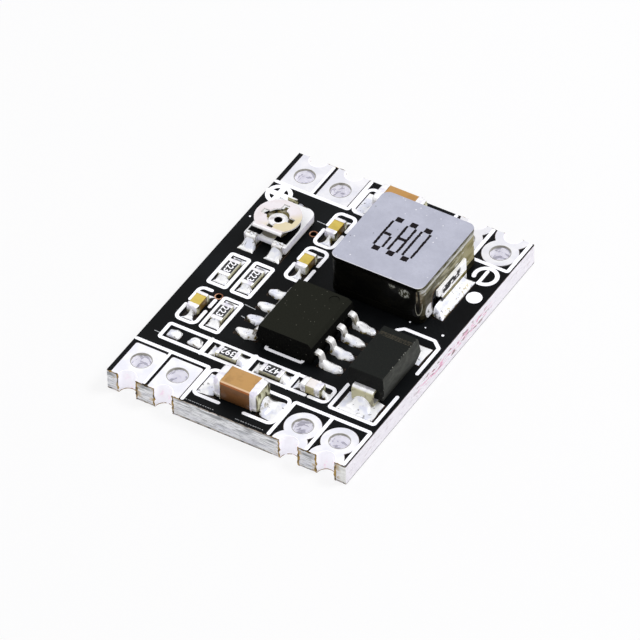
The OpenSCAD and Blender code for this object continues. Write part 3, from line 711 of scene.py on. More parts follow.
def solderFinish():
    # white where it lies flat; olive in places on the steep parts, a painted reflection; dark on the far side,
    # painted shade; a faint glow is painted light
    s = Surface("brightSolder")
    cloud = s.noise(1.5, 2)
    oliveReflection = s.noise(3.0, 3, shift=6).rise(0.53, 0.60)
    specks = s.noise(4.0, 3, (1, 1, 0.6), 2).rise(0.63, 0.66)
    toe = s.x.rise(6.2, 6.4) * (1 - s.y.rise(2.5, 2.9)) * s.y.rise(1.4, 1.6)
    rim = corners("inductor_solder")[1].x - 0.15
    fringe = s.x.band(rim, 0.08, 0.08) * s.y.band(4.4, 1.6, 0.2)
    color = s.coats(
        s.mix(cloud.rise(0.44, 0.66), tone(252, 252, 254), tone(228, 230, 244)),
        (specks * 0.7, tone(96, 94, 90)),
        (oliveReflection * (1 - s.faceZ.rise(0.30, 0.70)), tone(124, 110, 56)),
        (s.faceY.rise(0.22, 0.50) * 0.8, tone(60, 60, 50)),
        (toe * s.noise(2.4, 3, shift=3).rise(0.40, 0.45) * 0.9, tone(16, 16, 14)),
        (fringe * s.noise(5, 3, shift=8).rise(0.57, 0.62) * 0.6, tone(170, 152, 70)),
    )
    return s.shade(color, 0.34, cloud, 0.02, 0.15, glow=0.06)


def inkFinish(name, freshInkAndBrightGlint, dustyInkAndDimGlint, glow=0.0):
    # the glow is painted light that brightens the white print and the glints
    s = Surface(name)
    cloud = s.noise(6.0, 3)
    return s.shade(s.mix(cloud, freshInkAndBrightGlint, dustyInkAndDimGlint), 0.6, cloud, 0.004, specular=0.1, glow=glow)


finishes = {
    "laminate": laminateFinish(),
    "mask": maskFinish(),
    "pad": padFinish(),
    "plating": platingFinish(),
    "copper": copperFinish("bareCopper", tone(150, 104, 80), tone(216, 168, 138)),
    "wire": copperFinish("enamelledWire", tone(10, 8, 6), tone(34, 20, 12)),
    "regulator": regulatorFinish(),
    "diode": diodeFinish(),
    "ferrite": ferriteFinish(),
    "resin": resinFinish(),
    "land": patchyFinish(  # wetted copper between the solder and the mask, brown with flux
        "wettedLand", tone(18, 15, 12), tone(44, 33, 22), (0.4, 0.7), 0.4, 0.2, 0.006, 0.2,
    ),
    "brown": ceramicFinish(
        "brownCeramic", tone(196, 150, 90), tone(116, 76, 40), tone(48, 26, 10),
        ("input_capacitor_body", tone(250, 212, 170)),
    ),
    "orange": ceramicFinish("orangeCeramic", tone(196, 146, 80), tone(150, 102, 58), tone(120, 76, 36)),
    "ochre": ceramicFinish("ochreCeramic", tone(220, 194, 92), tone(122, 92, 20), tone(70, 50, 12)),
    "cream": ceramicFinish("creamCeramic", tone(252, 246, 246), tone(226, 218, 176), tone(150, 136, 90)),
    "alumina": aluminaFinish("baseAlumina", tone(238, 236, 247), tone(206, 202, 190), True),
    "substrate": aluminaFinish("chipAlumina", tone(206, 202, 162), tone(66, 62, 36)),
    "coat": darkFinish("blackCoat", 3.0, tone(14, 14, 15), tone(30, 31, 33), 0.35, 0.006),
    "track": darkFinish("carbonTrack", 5.0, tone(3, 3, 3), tone(7, 7, 7), 0.6, 0.003, 0.04),
    "lead": metalFinish(
        "tinnedLead", tone(252, 252, 254), tone(232, 230, 238), tone(178, 172, 124), tone(116, 108, 60),
        0.4, (0.45, 0.85), 0.05,
    ),
    "brightTin": metalFinish(
        "brightTin", tone(253, 253, 254), tone(226, 222, 224), tone(232, 230, 228), tone(130, 120, 96),
        0.2, (0.30, 0.75), 0.08, 0.9,
    ),
    "chipMetal": chipMetalFinish(),
    "rivet": rivetFinish(),
    "rotor": rotorFinish(),
    "clip": clipFinish(),
    "solder": solderFinish(),
    "burr": patchyFinish(
        "cutBurr", tone(176, 142, 66), tone(66, 52, 24), (0.4, 0.65), 0.5, 0.1, 0.01,
    ),
    "whiteInk": inkFinish("whiteInk", tone(246, 246, 251), tone(240, 240, 247), 0.34),
    "glint": inkFinish("traceGlint", tone(226, 228, 232), tone(130, 134, 138), 0.1),
    "blackInk": inkFinish("blackInk", tone(8, 4, 7), tone(24, 18, 22)),
}
print("finishes made:", len(finishes))


def finishNameOf(node):
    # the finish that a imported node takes
    byName = {
        "circuit_board": "laminate", "vias": "copper", "inductor_winding": "wire",
        "plated_holes": "plating", "edge_plating": "plating", "component_lands": "land",
        "regulator_body": "regulator", "regulator_leads": "brightTin", "diode_body": "diode",
        "inductor_core": "ferrite", "inductor_resin": "resin",
        "input_capacitor_body": "brown", "output_capacitor_body": "orange",
        "enable_capacitor_body": "cream", "trimmer_base": "alumina",
        "trimmer_track": "track", "trimmer_rivet": "rivet", "trimmer_rotor": "rotor",
    }
    byPart = {
        "solder_mask": "mask", "edge_pads": "pad", "capacitor_body": "ochre", "_ends": "chipMetal",
        "_glaze": "coat", "resistor": "substrate", "inductor_clip": "clip", "_solder": "solder",
        "lead": "lead", "terminal": "brightTin",
    }
    if node in byName:
        return byName[node]
    return next(finish for part, finish in byPart.items() if part in node)


for node, solid in frame["nodes"].items():
    solid.data.materials.clear()
    solid.data.materials.append(finishes[finishNameOf(node)])
print("packed nodes finished")


# Tools for new pieces

def keepPiece(bm, name, finish, body="module", replaced=(), soften=40):
    # turns a bmesh into a piece that rides on a body; faces that meet at less than the angle shade as one
    bmesh.ops.remove_doubles(bm, verts=bm.verts, dist=0.0002 * mm)
    bmesh.ops.recalc_face_normals(bm, faces=bm.faces)
    for face in bm.faces:
        face.smooth = True
    for edge in bm.edges:
        edge.smooth = edge.is_manifold and edge.calc_face_angle(0) < math.radians(soften)
    mesh = bpy.data.meshes.new(name)
    bm.to_mesh(mesh)
    bm.free()
    mesh.materials.append(finishes[finish])
    piece = bpy.data.objects.new(name, mesh)
    scene.collection.objects.link(piece)
    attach(piece, body)
    if replaced:
        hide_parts(*replaced)
    return piece


def facesOf(verts):
    return list({face for vert in verts for face in vert.link_faces})


def flatGrid(bm, columnCount, rowCount):
    # a unit sheet to be bent into shape, as its vertices and its faces
    verts = bmesh.ops.create_grid(bm, x_segments=columnCount, y_segments=rowCount, size=0.5)["verts"]
    return verts, facesOf(verts)


def thicken(bm, faces, depth, way=Vector((0, 0, 1))):
    # closes a sheet into a plate that stands up by the depth
    grown = bmesh.ops.extrude_face_region(bm, geom=faces, use_keep_orig=True)["geom"]
    tops = [item for item in grown if isinstance(item, bmesh.types.BMVert)]
    bmesh.ops.translate(bm, verts=tops, vec=way * depth)


def randomDrift():
    # a far-off place to read the noise at, so that no two pieces look alike
    return Vector([random.uniform(-50, 50) for axis in range(3)])


softening = {
    "merge": 0.001,
    "flat": 1,  # degrees between faces that become one
    "sharp": 28,  # degrees from which an edge is rounded
}


def softCopy(node, name, radius, steps, body):
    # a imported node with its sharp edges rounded
    bm = bmesh.new()
    bm.from_mesh(frame["nodes"][node].data)
    bmesh.ops.remove_doubles(bm, verts=bm.verts, dist=softening["merge"] * mm)
    flat = math.radians(softening["flat"])
    bmesh.ops.dissolve_limit(bm, angle_limit=flat, verts=bm.verts, edges=bm.edges)
    piece = keepPiece(bm, name, finishNameOf(node), body, [node])
    rounding = piece.modifiers.new("softEdges", "BEVEL")
    rounding.width = radius
    rounding.segments = steps
    rounding.limit_method = "ANGLE"
    rounding.angle_limit = math.radians(softening["sharp"])
    rounding.harden_normals = True
    return piece


# White print on the board

class Pen:
    # lays one printed line: an edge as wide as the line is extruded and spun along its way
    def __init__(self, bm, start, heading, width, level):
        self.bm = bm
        self.spot = Vector((start[0], start[1], level))
        self.heading = heading
        self.width = width
        side = self.leftward() * width / 2
        self.edge = bm.edges.new([bm.verts.new(self.spot - side), bm.verts.new(self.spot + side)])
        self.faces = []
        self.cap()

    def forward(self):
        return Vector((math.cos(self.heading), math.sin(self.heading), 0))

    def leftward(self):
        return Vector((-math.sin(self.heading), math.cos(self.heading), 0))

    def cap(self):
        # a round end, a hair lower than the line
        place = Matrix.Translation(self.spot - Vector((0, 0, 0.0006 * mm)))
        ring = bmesh.ops.create_circle(
            self.bm, cap_ends=True, segments=16, radius=self.width / 2, matrix=place,
        )
        self.faces += facesOf(ring["verts"])

    def go(self, length):
        grown = bmesh.ops.extrude_edge_only(self.bm, edges=[self.edge])["geom"]
        self.faces += [item for item in grown if isinstance(item, bmesh.types.BMFace)]
        ends = [item for item in grown if isinstance(item, bmesh.types.BMVert)]
        bmesh.ops.translate(self.bm, verts=ends, vec=self.forward() * length)
        self.edge = self.bm.edges.get(ends)
        self.spot += self.forward() * length

    def turn(self, angle, radius):
        before = set(self.bm.faces)
        side = math.copysign(1, angle)
        centre = self.spot + self.leftward() * side * radius
        steps = max(3, math.ceil(abs(angle) / math.radians(11)))
        swept = bmesh.ops.spin(
            self.bm, geom=[self.edge, *self.edge.verts], cent=centre, axis=(0, 0, 1), angle=angle,
            steps=steps, use_merge=False,
        )["geom_last"]
        self.edge = next(item for item in swept if isinstance(item, bmesh.types.BMEdge))
        self.faces += list(set(self.bm.faces) - before)
        self.heading += angle
        self.spot = centre - self.leftward() * side * radius


def trace(bm, points, width, level, corner=0.0, closed=False):
    # a line through points in millimetres, with its corners rounded
    corner = max(corner, width / 2)
    stops = [Vector(point) for point in points]
    if closed:
        middle = (stops[0] + stops[1]) / 2
        stops = [middle, *stops[1:], stops[0], middle]
    legs = [after - before for before, after in zip(stops, stops[1:])]
    headings = [math.atan2(leg.y, leg.x) for leg in legs]
    bends = [
        (after - before + math.pi) % math.tau - math.pi for before, after in zip(headings, headings[1:])
    ]
    cuts = [0.0, *(abs(math.tan(bend / 2)) * corner for bend in bends), 0.0]
    pen = Pen(bm, stops[0] * mm, headings[0], width * mm, level)
    for index, leg in enumerate(legs):
        pen.go((leg.length - cuts[index] - cuts[index + 1]) * mm)
        if index < len(bends):
            pen.turn(bends[index], corner * mm)
    pen.cap()
    return pen.faces


printed = {  # millimetres from the middle of the board
    "line": 0.235,
    "thin": 0.17,
    "lift": 0.016,
    "sunk": 0.004,  # how far the print reaches into the mask
    "step": 0.0012,  # how much higher each line lies than the last, so that crossings don't flicker
    "frontRow": -7.825,
    "backRow": 8.115,
    "edge": 10.88,
    "terminalLines": ((8.125, 2.925, 5.54), (-3.08, -5.73)),
    "bigFrames": ((-8.985, 1.168), (9.25, 1.133)),
    "bigSides": (-2.85, 2.68),
    "bigGap": (-1.02, 0.75),
    "bigCorner": 0.38,
    "resistorFrames": (  # left, front, right, back
        (-7.11, -1.53, -5.87, 1.28), (-5.43, -1.58, -4.20, 1.30), (-5.43, -5.10, -4.22, -2.24),
    ),
    "smallFrames": (  # left, front, right, back, the middle of the gap in the sides, corner left out
        (-7.20, -5.13, -5.82, -2.12, -3.62, 0.62), (-3.40, 4.54, -2.09, 7.58, 6.06, 0),
        (-3.38, 1.12, -2.00, 4.13, 2.62, 0),
    ),
    "smallGap": 0.24,
    "smallCorner": 0.36,
    "rowFrame": (-7.10, -7.05, 4.51, -5.74),
    "rowBars": ((-4.185, 0.33), (-1.15, 0.40), (1.85, 0.30)),
    "rowGap": (3.08, 3.38),
    "chipLine": (-1.03, 1.48, -4.80, 0.26),
    "diodeFrame": (4.87, -7.20, 7.96, 0.76),
    "diodeGap": (-5.0, -4.5, -2.2, 0.3),  # where the line ends on the left, then three stops up the right
    "diodeCorner": (0.55, 0.45, 0.1),
    "dot": (7.55, 5.15, 0.5),
    "minus": (7.2, 7.1),
    "plus": (-7.4, 7.15),
    "sign": 0.71,
    "signLine": 0.28,
    "plusLine": 0.40,
    "flecks": (
        (-7.9, 4.6, 0.07), (5.3, 1.42, 0.06), (6.35, 1.45, 0.05), (7.6, 1.38, 0.09), (5.0, 1.9, 0.04),
    ),
    "glints": (
        ((-4.15, 6.3), (-3.45, 6.28)), ((-4.1, -2.13), (-3.35, -2.2)), ((-7.6, -6.72), (-7.2, -6.74)),
        ((-3.75, -3.1), (-3.5, -3.15)),
    ),
    "dashes": ((-2.9, -0.93, -10.8), (0.57, 2.45, -10.79)),  # start, end, y
    "glintLift": 0.004,
}


def printLines(p):
    # every line as (points, width, corner radius, closed)
    sheet = []

    def rule(*points, width=p["line"], corner=0, closed=False):
        sheet.append((points, width, corner, closed))

    right, inner, bar = p["terminalLines"][0]
    left, thin = p["terminalLines"][1]
    for side, row in ((-1, p["frontRow"]), (1, p["backRow"])):
        edge = side * p["edge"]
        rule((right, edge), (right, row), (inner, row), (inner, edge))
        rule((bar, row), (bar, edge))
        rule((boardLow.x / mm + p["line"] / 2, row), (left, row), (left, edge))
        rule((thin, row), (thin, edge), width=p["thin"])
    for middle, half in p["bigFrames"]:
        back, front = middle + half, middle - half
        for edge, gap in zip(p["bigSides"], p["bigGap"]):
            rule((gap, back), (edge, back), (edge, front), (gap, front), corner=p["bigCorner"])
    for left, front, right, back in p["resistorFrames"]:
        rule((left, front), (right, front), (right, back), (left, back), closed=True)
    for left, front, right, back, gap, cut in p["smallFrames"]:
        clear = (p["smallGap"] + p["line"]) / 2
        high, low = gap + clear, gap - clear
        if cut:
            rule((left, high), (left, back), (right - cut, back), corner=p["smallCorner"])
            rule((right, back - cut), (right, high))
        else:
            rule((left, high), (left, back), (right, back), (right, high), corner=p["smallCorner"])
        rule((left, low), (left, front), (right, front), (right, low), corner=p["smallCorner"])
    left, front, right, back = p["rowFrame"]
    last = p["rowBars"][-1][0]
    gapStart, gapEnd = p["rowGap"]
    rule((last, back), (left, back), (left, front), (last, front))
    rule((last, back), (right, back), (right, front), (gapEnd, front), corner=0.3)
    rule((last, front), (gapStart, front))
    for x, width in p["rowBars"]:
        rule((x, front), (x, back), width=width)
    left, right, low, rise = p["chipLine"]
    rule((left, low + rise), (left, low), (right, low), (right, low + rise), width=0.2)
    left, front, right, back = p["diodeFrame"]
    leftEnd, *stops = p["diodeGap"]
    chamfer, inset, tail = p["diodeCorner"]
    rule((left, leftEnd), (left, front), (right, front), (right, stops[0]))
    rule(
        (right, stops[1]), (right, stops[2]), (right - chamfer, back), (left + inset, back),
        (left + tail, inset),
    )
    reach = p["sign"]
    x, y = p["minus"]
    rule((x - 0.1, y - reach), (x - 0.1, y + 0.42), width=p["signLine"] * 0.8)
    x, y = p["plus"]
    rule((x - reach, y), (x + reach, y), width=p["plusLine"])
    rule((x, y - reach), (x, y + reach), width=p["plusLine"])
    return sheet


def makePrint(p):
    bm = bmesh.new()
    step = p["step"] * mm
    level = maskTop - p["sunk"] * mm
    for points, width, corner, closed in printLines(p):
        level += step
        thicken(bm, trace(bm, points, width, level, corner, closed), p["lift"] * mm)
    for name, start, sweep in (("minus", -98, 303), ("plus", 0, 359.9)):
        level += step
        x, y = p[name]
        start = math.radians(start)
        spot = (Vector((x, y)) + p["sign"] * Vector((math.cos(start), math.sin(start)))) * mm
        pen = Pen(bm, spot, start + math.pi / 2, p["signLine"] * mm, level)
        pen.turn(math.radians(sweep), p["sign"] * mm)
        pen.cap()
        thicken(bm, pen.faces, p["lift"] * mm)
    for x, y, radius in (p["dot"], *p["flecks"]):
        level += step
        place = Matrix.Translation((x * mm, y * mm, level))
        count = 40 if radius > 0.2 else 7  # the dot is round, the flecks are rough
        disc = bmesh.ops.create_circle(bm, cap_ends=True, segments=count, radius=radius * mm, matrix=place)
        thicken(bm, facesOf(disc["verts"]), p["lift"] * mm)
    keepPiece(bm, "boardPrint", "whiteInk")
    bm = bmesh.new()
    level = maskTop - p["glintLift"] / 2 * mm
    for points in p["glints"]:
        thicken(bm, trace(bm, points, 0.05, level), p["glintLift"] * mm)
    random.seed(2)
    for start, end, y in p["dashes"]:
        x = start
        while x < end:
            along = random.uniform(0.02, 0.10)
            thicken(bm, trace(bm, ((x, y), (x + along, y)), 0.035, level), p["glintLift"] * mm)
            x += along + random.uniform(0.05, 0.11)
    keepPiece(bm, "traceGlints", "glint")


makePrint(printed)
print("board print laid")

# Numbers

coilMark = {
    "digits": "680",
    "pitch": 1.0,
    "width": 0.6,  # between the middles of a digit's uprights
    "height": 2.78,
    "upright": 0.16,
    "bar": (0.46, 0.40),
    "middle": (1.85, 4.7),  # of the first digit
    "rough": (0.01, 0.036),  # how far an outline strays along a stroke and across it
    "depth": 0.006,
}


def makeCoilMark(m):
    # burnt digits built of thin uprights and short thick bars that don't quite meet
    strokes = {
        "6": ("top", "middle", "bottom", "left", "lowRight"),
        "8": ("top", "middle", "bottom", "left", "right"),
        "0": ("top", "bottom", "left", "right"),
    }
    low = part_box("inductor_core")[1].z - 0.002 * mm
    barLong, barWide = m["bar"]
    reach = m["height"] / 2
    clear = barWide / 2 + 0.02
    half = m["width"] / 2
    stray, fray = m["rough"]
    random.seed(4)
    bm = bmesh.new()
    for place, digit in enumerate(m["digits"]):
        x = m["middle"][0] + place * m["pitch"]
        y = m["middle"][1]
        parts = {
            "top": ((x - barLong / 2, y + reach), (x + barLong / 2, y + reach), barWide),
            "middle": ((x - barLong / 2, y), (x + barLong / 2, y), barWide * 0.6),
            "bottom": ((x - barLong / 2, y - reach), (x + barLong / 2, y - reach), barWide),
            "left": ((x - half, y - reach + clear), (x - half, y + reach - clear), m["upright"]),
            "right": ((x + half, y - reach + clear), (x + half, y + reach - clear), m["upright"]),
            "lowRight": ((x + half, y - reach + clear), (x + half, y - clear * 0.6), m["upright"]),
        }
        for name in strokes[digit]:
            start, end, width = Vector(parts[name][0]), Vector(parts[name][1]), parts[name][2]
            grid, faces = flatGrid(bm, max(4, round((end - start).length / 0.09)), 1)
            along = (end - start).normalized()
            across = Vector((-along.y, along.x))
            for vert in grid:
                spot = start.lerp(end, vert.co.x + 0.5) + along * random.uniform(-stray, stray)
                spot += across * vert.co.y * (width + random.uniform(-fray, fray))
                vert.co = (spot.x * mm, spot.y * mm, low)
            thicken(bm, faces, m["depth"] * mm)
    keepPiece(bm, "coilMark", "blackInk")


def addNumber(bm, words, size, place, turn, weight, depth):
    # a printed number, made a mesh and then put in its place
    curve = bpy.data.curves.new("number", "FONT")
    curve.body = words
    curve.size = size
    curve.align_x = "CENTER"
    curve.align_y = "CENTER"
    curve.offset = weight
    curve.extrude = depth / 2
    curve.resolution_u = 3
    holder = bpy.data.objects.new("number", curve)
    scene.collection.objects.link(holder)
    bpy.context.view_layer.update()
    mesh = bpy.data.meshes.new_from_object(holder.evaluated_get(bpy.context.evaluated_depsgraph_get()))
    mesh.transform(Matrix.Translation(place) @ Matrix.Rotation(math.radians(turn), 4, "Z"))
    bm.from_mesh(mesh)
    bpy.data.objects.remove(holder)
    bpy.data.curves.remove(curve)
    bpy.data.meshes.remove(mesh)


resistorMarks = {
    "numbers": ("223", "223", "223", "392", "473"),
    "turns": (-90, -90, -90, 180, 180),
    "size": 0.64 * mm,
    "weight": 0.007 * mm,
    "depth": 0.008 * mm,
}


def makeResistorMarks(m):
    bm = bmesh.new()
    for index, (words, turn) in enumerate(zip(m["numbers"], m["turns"])):
        glaze = f"resistor_{index + 1}_glaze"
        place = Vector((*middleOf(glaze).xy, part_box(glaze)[1].z))
        addNumber(bm, words, m["size"], place, turn, m["weight"], m["depth"])
    keepPiece(bm, "resistorMarks", "whiteInk")


makeCoilMark(coilMark)
makeResistorMarks(resistorMarks)
print("numbers printed")

# Parts with soft edges

softEdges = {  # node: piece, radius in millimetres, steps
    "regulator_body": ("regulatorMoulding", 0.07, 3),
    "regulator_leads": ("regulatorLeads", 0.035, 2),
    "diode_body": ("diodeMoulding", 0.05, 3),
    "diode_lead_front": ("diodeLeadFront", 0.045, 3),
    "diode_lead_back": ("diodeLeadBack", 0.045, 3),
    "inductor_core": ("inductorDrum", 0.05, 3),
    "trimmer_base": ("trimmerBase", 0.04, 2),
    "trimmer_terminal_left": ("trimmerTerminalLeft", 0.03, 2),
    "trimmer_terminal_right": ("trimmerTerminalRight", 0.03, 2),
    "trimmer_rivet": ("trimmerRivet", 0.025, 2),
    "trimmer_rotor": ("trimmerDial", 0.03, 2),
}
for node, (name, radius, steps) in softEdges.items():
    softCopy(node, name, radius * mm, steps, "rotor" if node == "trimmer_rotor" else "module")
print("soft edges made:", len(softEdges))

# Capacitors and resistor ends

chipBlocks = {  # node: length of the metal in millimetres, squareness, bulge
    "input_capacitor_ends": (0.52, 5.0, 0.03),
    "output_capacitor_ends": (0.52, 5.0, 0.03),
    "bootstrap_capacitor_ends": (0.27, 6.0, 0.015),
    "feedback_capacitor_ends": (0.27, 6.0, 0.015),
    "compensation_capacitor_ends": (0.27, 6.0, 0.015),
    "enable_capacitor_ends": (0.40, 6.0, 0.015),
    **{f"resistor_{order}_ends": (0.29, 6.0, 0.01) for order in range(1, 6)},
}


def pieceNameOf(node):
    first, *rest = node.split("_")
    return first + "".join(word.title() for word in rest)


def lengthwise(node):
    # a chip's middle, its size and the direction of its length
    low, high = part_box(node)
    size = high - low
    return middleOf(node), size, Vector((1, 0, 0)) if size.x > size.y else Vector((0, 1, 0))


chipShape = {
    "ripple": 1.4,  # how often the inner rim waves
    "wave": 0.12,  # how far it waves, as a share of the metal's length
    "dip": 0.10,  # how far it draws back at the middle of a face
    "rimSquareness": 12,
    "covered": 1.5,  # how much of the metal's length the ceramic leaves free, both ends together
    "rounding": 0.09,  # of the ceramic's edges, as a share of its height
}


def makeChipEnds(node, reach, squareness, bulge, seed):
    # a ball pressed into a block with full round edges and cut off at a wavy inner rim
    middle, size, along = lengthwise(node)
    across = Vector((along.y, along.x, 0))
    long, wide, high = size.dot(along) / 2, size.dot(across) / 2 + bulge * mm / 2, size.z / 2
    drift = Vector((seed * 3.7, seed * 1.9, 0))
    ripple, power = chipShape["ripple"], chipShape["rimSquareness"]
    bm = bmesh.new()
    for side in (-1, 1):
        upright = Matrix.Rotation(math.radians(90), 4, "Y")
        ball = bmesh.ops.create_uvsphere(
            bm, u_segments=40, v_segments=24, radius=1.0, matrix=upright,
        )["verts"]
        for vert in ball:
            way = vert.co
            scale = sum(abs(part) ** squareness for part in way) ** (-1 / squareness)
            ahead, sideways, upward = way * scale
            where = Vector((side * 5, sideways * ripple, upward * ripple)) + drift
            wave = noise.noise(where) * chipShape["wave"] * reach
            wave -= chipShape["dip"] * reach * math.cos(sideways * math.pi)
            if ahead < 0:
                scale = (abs(way.y) ** power + abs(way.z) ** power + 1e-12) ** (-1 / power)
                fill = min(1.0, scale * math.hypot(way.y, way.z))
                ahead, sideways, upward = 0, way.y * scale * fill, way.z * scale * fill
            inner = long - (reach - wave) * mm
            place = inner + ahead * (long - inner)
            offset = across * sideways * wide + Vector((0, 0, upward * high))
            vert.co = middle + along * side * place + offset
    keepPiece(bm, pieceNameOf(node), finishNameOf(node), "module", [node], 50)


def makeCeramicBlock(node, ends):
    # the ceramic between the two ends
    middle, size, along = lengthwise(node)
    reach = chipBlocks[ends][0] * mm
    short = size - along * chipShape["covered"] * reach
    bm = bmesh.new()
    place = Matrix.Translation(middle) @ Matrix.Diagonal((*short, 1))
    bmesh.ops.create_cube(bm, size=1, matrix=place)
    bmesh.ops.bevel(
        bm, geom=bm.edges[:], offset=chipShape["rounding"] * size.z, segments=3, profile=0.5,
        affect="EDGES", material=-1,
    )
    keepPiece(bm, pieceNameOf(node), finishNameOf(node), "module", [node], 60)


for order, (node, (reach, squareness, bulge)) in enumerate(chipBlocks.items()):
    makeChipEnds(node, reach, squareness, bulge, order)
    body = node.replace("_ends", "_body")
    if "capacitor" in node:
        makeCeramicBlock(body, node)
print("chips rounded:", len(chipBlocks))

# Solder

def solderRun(bm, foot, heading, s, seed):
    # a fillet over a land: it starts at a metal face, falls in a hollow slope and thins out at its toe
    grid, faces = flatGrid(bm, *s["cells"])
    random.seed(seed)
    drift = randomDrift()
    turn = Matrix.Translation(foot) @ Matrix.Rotation(math.radians(heading), 4, "Z")
    blunt = s.get("blunt", 0.0)
    for vert in grid:
        along, across = vert.co.x + 0.5, vert.co.y * 2
        spread = s["near"] + (s["far"] - s["near"]) * along ** s.get("flare", 1)
        spread += s.get("belly", 0) * math.sin(math.pi * along ** 0.8)
        if along > 1 - blunt:
            spread *= math.sqrt(max(0.03, 1 - ((along - 1 + blunt) / blunt) ** 2))
        wander = noise.noise(Vector((along * s.get("jags", 3), math.copysign(2, across), 0)) + drift)
        ragged = wander * s["ragged"] * min(1, along * 6) * across
        edge = max(0.0, 1 - abs(across) ** s.get("square", 6))
        tip = min(1.0, max(0.0, 1 - along) / s.get("tip", 0.16))
        tip = math.sqrt(1 - (1 - tip) ** 2)
        arch = 1 - s.get("arch", 0.3) * across ** 2
        slope = max(0.0, 1 - along / s.get("reach", 1.0)) ** s.get("hollow", 2)
        rise = s["toe"] + (s["climb"] * arch - s["toe"]) * slope
        crinkle = noise.noise(Vector((along * 3, across * 2, 1)) + drift) * s["crinkle"]
        height = (rise + crinkle) * edge * tip
        vert.co = turn @ (Vector((along * s["run"], across * spread / 2 + ragged, max(0.003, height))) * mm)
    thicken(bm, faces, 0)
    for vert in grid:
        vert.co.z = foot.z - 0.01 * mm


def solderBlob(bm, place, s, seed, turn=0):
    # a mound with a ragged outline on a bare land
    made = bmesh.ops.create_uvsphere(bm, u_segments=28, v_segments=16, radius=1.0)["verts"]
    random.seed(seed)
    drift = randomDrift()
    spin = Matrix.Rotation(math.radians(turn), 3, "Z")
    for vert in made:
        way = vert.co.copy()
        ragged = 1 + noise.noise(way * 1.6 + drift) * s["ragged"]
        x, y = way.x * s["long"] / 2 * ragged, way.y * s["wide"] / 2 * ragged
        y = max(y, -s.get("flat", 1) * s["wide"] / 2)
        z = way.z * s["high"] if way.z > 0 else way.z * 0.01
        z *= 1 + noise.noise(way * 2.6 - drift) * 0.25
        vert.co = place + (spin @ Vector((x, y, max(z, -0.01)))) * mm


chipSolder = {
    "cells": (16, 14), "near": 0.34, "far": 0.92, "flare": 2.4, "toe": 0.05, "climb": 0.46,
    "run": 0.50, "ragged": 0.03, "crinkle": 0.03, "hollow": 1.7, "arch": 0.7,
}
resistorSolder = {
    **chipSolder, "near": 0.84, "far": 0.96, "belly": -0.12, "climb": 0.36, "run": 0.46, "ragged": 0.06,
}
bigSolder = {
    "cells": (24, 20), "near": 1.35, "far": 1.80, "flare": 0.6, "toe": 0.06, "climb": 0.80,
    "run": 1.06, "ragged": 0.05, "crinkle": 0.04, "hollow": 2.6, "arch": 0.6, "reach": 0.62,
}


def chipFeet(node):
    # the two ends of a chip: the foot of each end face and the way it looks
    middle, size, along = lengthwise(node)
    foot = Vector((middle.x, middle.y, padTop))
    reach = along * size.dot(along) / 2
    heading = 90 * along.y
    return (foot + reach, heading), (foot - reach, heading + 180)


def makeChipSolder():
    bm = bmesh.new()
    chips = [node for node in frame["nodes"] if node.endswith("_ends")]
    for order, node in enumerate(sorted(chips)):
        shape = resistorSolder if node.startswith("resistor") else chipSolder
        if node in ("input_capacitor_ends", "output_capacitor_ends"):
            shape = bigSolder
        for side, (foot, heading) in enumerate(chipFeet(node)):
            solderRun(bm, foot, heading, shape, 10 + order * 2 + side)
    keepPiece(bm, "chipFillets", "solder", replaced=["chip_solder"])


regulatorSolder = {
    "cells": (44, 18), "near": 0.48, "far": 0.56, "belly": 0.24, "blunt": 0.40, "toe": 0.16, "climb": 0.60,
    "run": 1.54, "ragged": 0.13, "jags": 4.4, "crinkle": 0.03, "hollow": 3.0, "arch": 0.5, "heel": 2.22,
    "leadWidth": 0.42,
}


def makeRegulatorSolder(s):
    bm = bmesh.new()
    low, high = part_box("regulator_leads")
    middle = middleOf("regulator_leads")
    pitch = (high.y - low.y - s["leadWidth"] * mm) / 3
    for side, heading in ((1, 0), (-1, 180)):
        for lead in range(4):
            foot = Vector((middle.x + side * s["heel"] * mm, middle.y + (lead - 1.5) * pitch, padTop))
            solderRun(bm, foot, heading, s, 60 + lead + side * 7)
    keepPiece(bm, "regulatorFillets", "solder", replaced=["regulator_solder"])


diodeSolder = {
    "cells": (26, 30), "near": 2.40, "far": 2.44, "toe": 0.06, "climb": 0.10, "run": 1.58,
    "ragged": 0.04, "crinkle": 0.03, "hollow": 1, "arch": 0.2, "start": 1.96,
}
diodeMound = {
    "cells": (30, 36), "near": 1.50, "far": 2.1, "toe": 0.04, "climb": 0.66, "run": 0.86,
    "ragged": 0.03, "crinkle": 0.015, "hollow": 1.8, "arch": 0.8,
}


def makeDiodeSolder(sheet, mound):
    bm = bmesh.new()
    middle = middleOf("diode_body")
    ends = (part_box("diode_lead_front")[0].y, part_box("diode_lead_back")[1].y)
    for side, heading, end in ((-1, -90, ends[0]), (1, 90, ends[1])):
        start = Vector((middle.x, middle.y + side * sheet["start"] * mm, padTop))
        solderRun(bm, start, heading, sheet, 81 + side)
        solderRun(bm, Vector((middle.x, end, padTop)), heading, mound, 85 + side)
    keepPiece(bm, "diodeFillets", "solder", replaced=["diode_solder"])


coilSolder = {
    "cells": (22, 60), "near": 3.7, "far": 3.9, "flare": 0.7, "toe": 0.08, "climb": 0.60, "start": 0.14,
    "ragged": 0.05, "crinkle": 0.05, "hollow": 1.3, "arch": 0.0, "square": 16, "forward": 0.26,
}


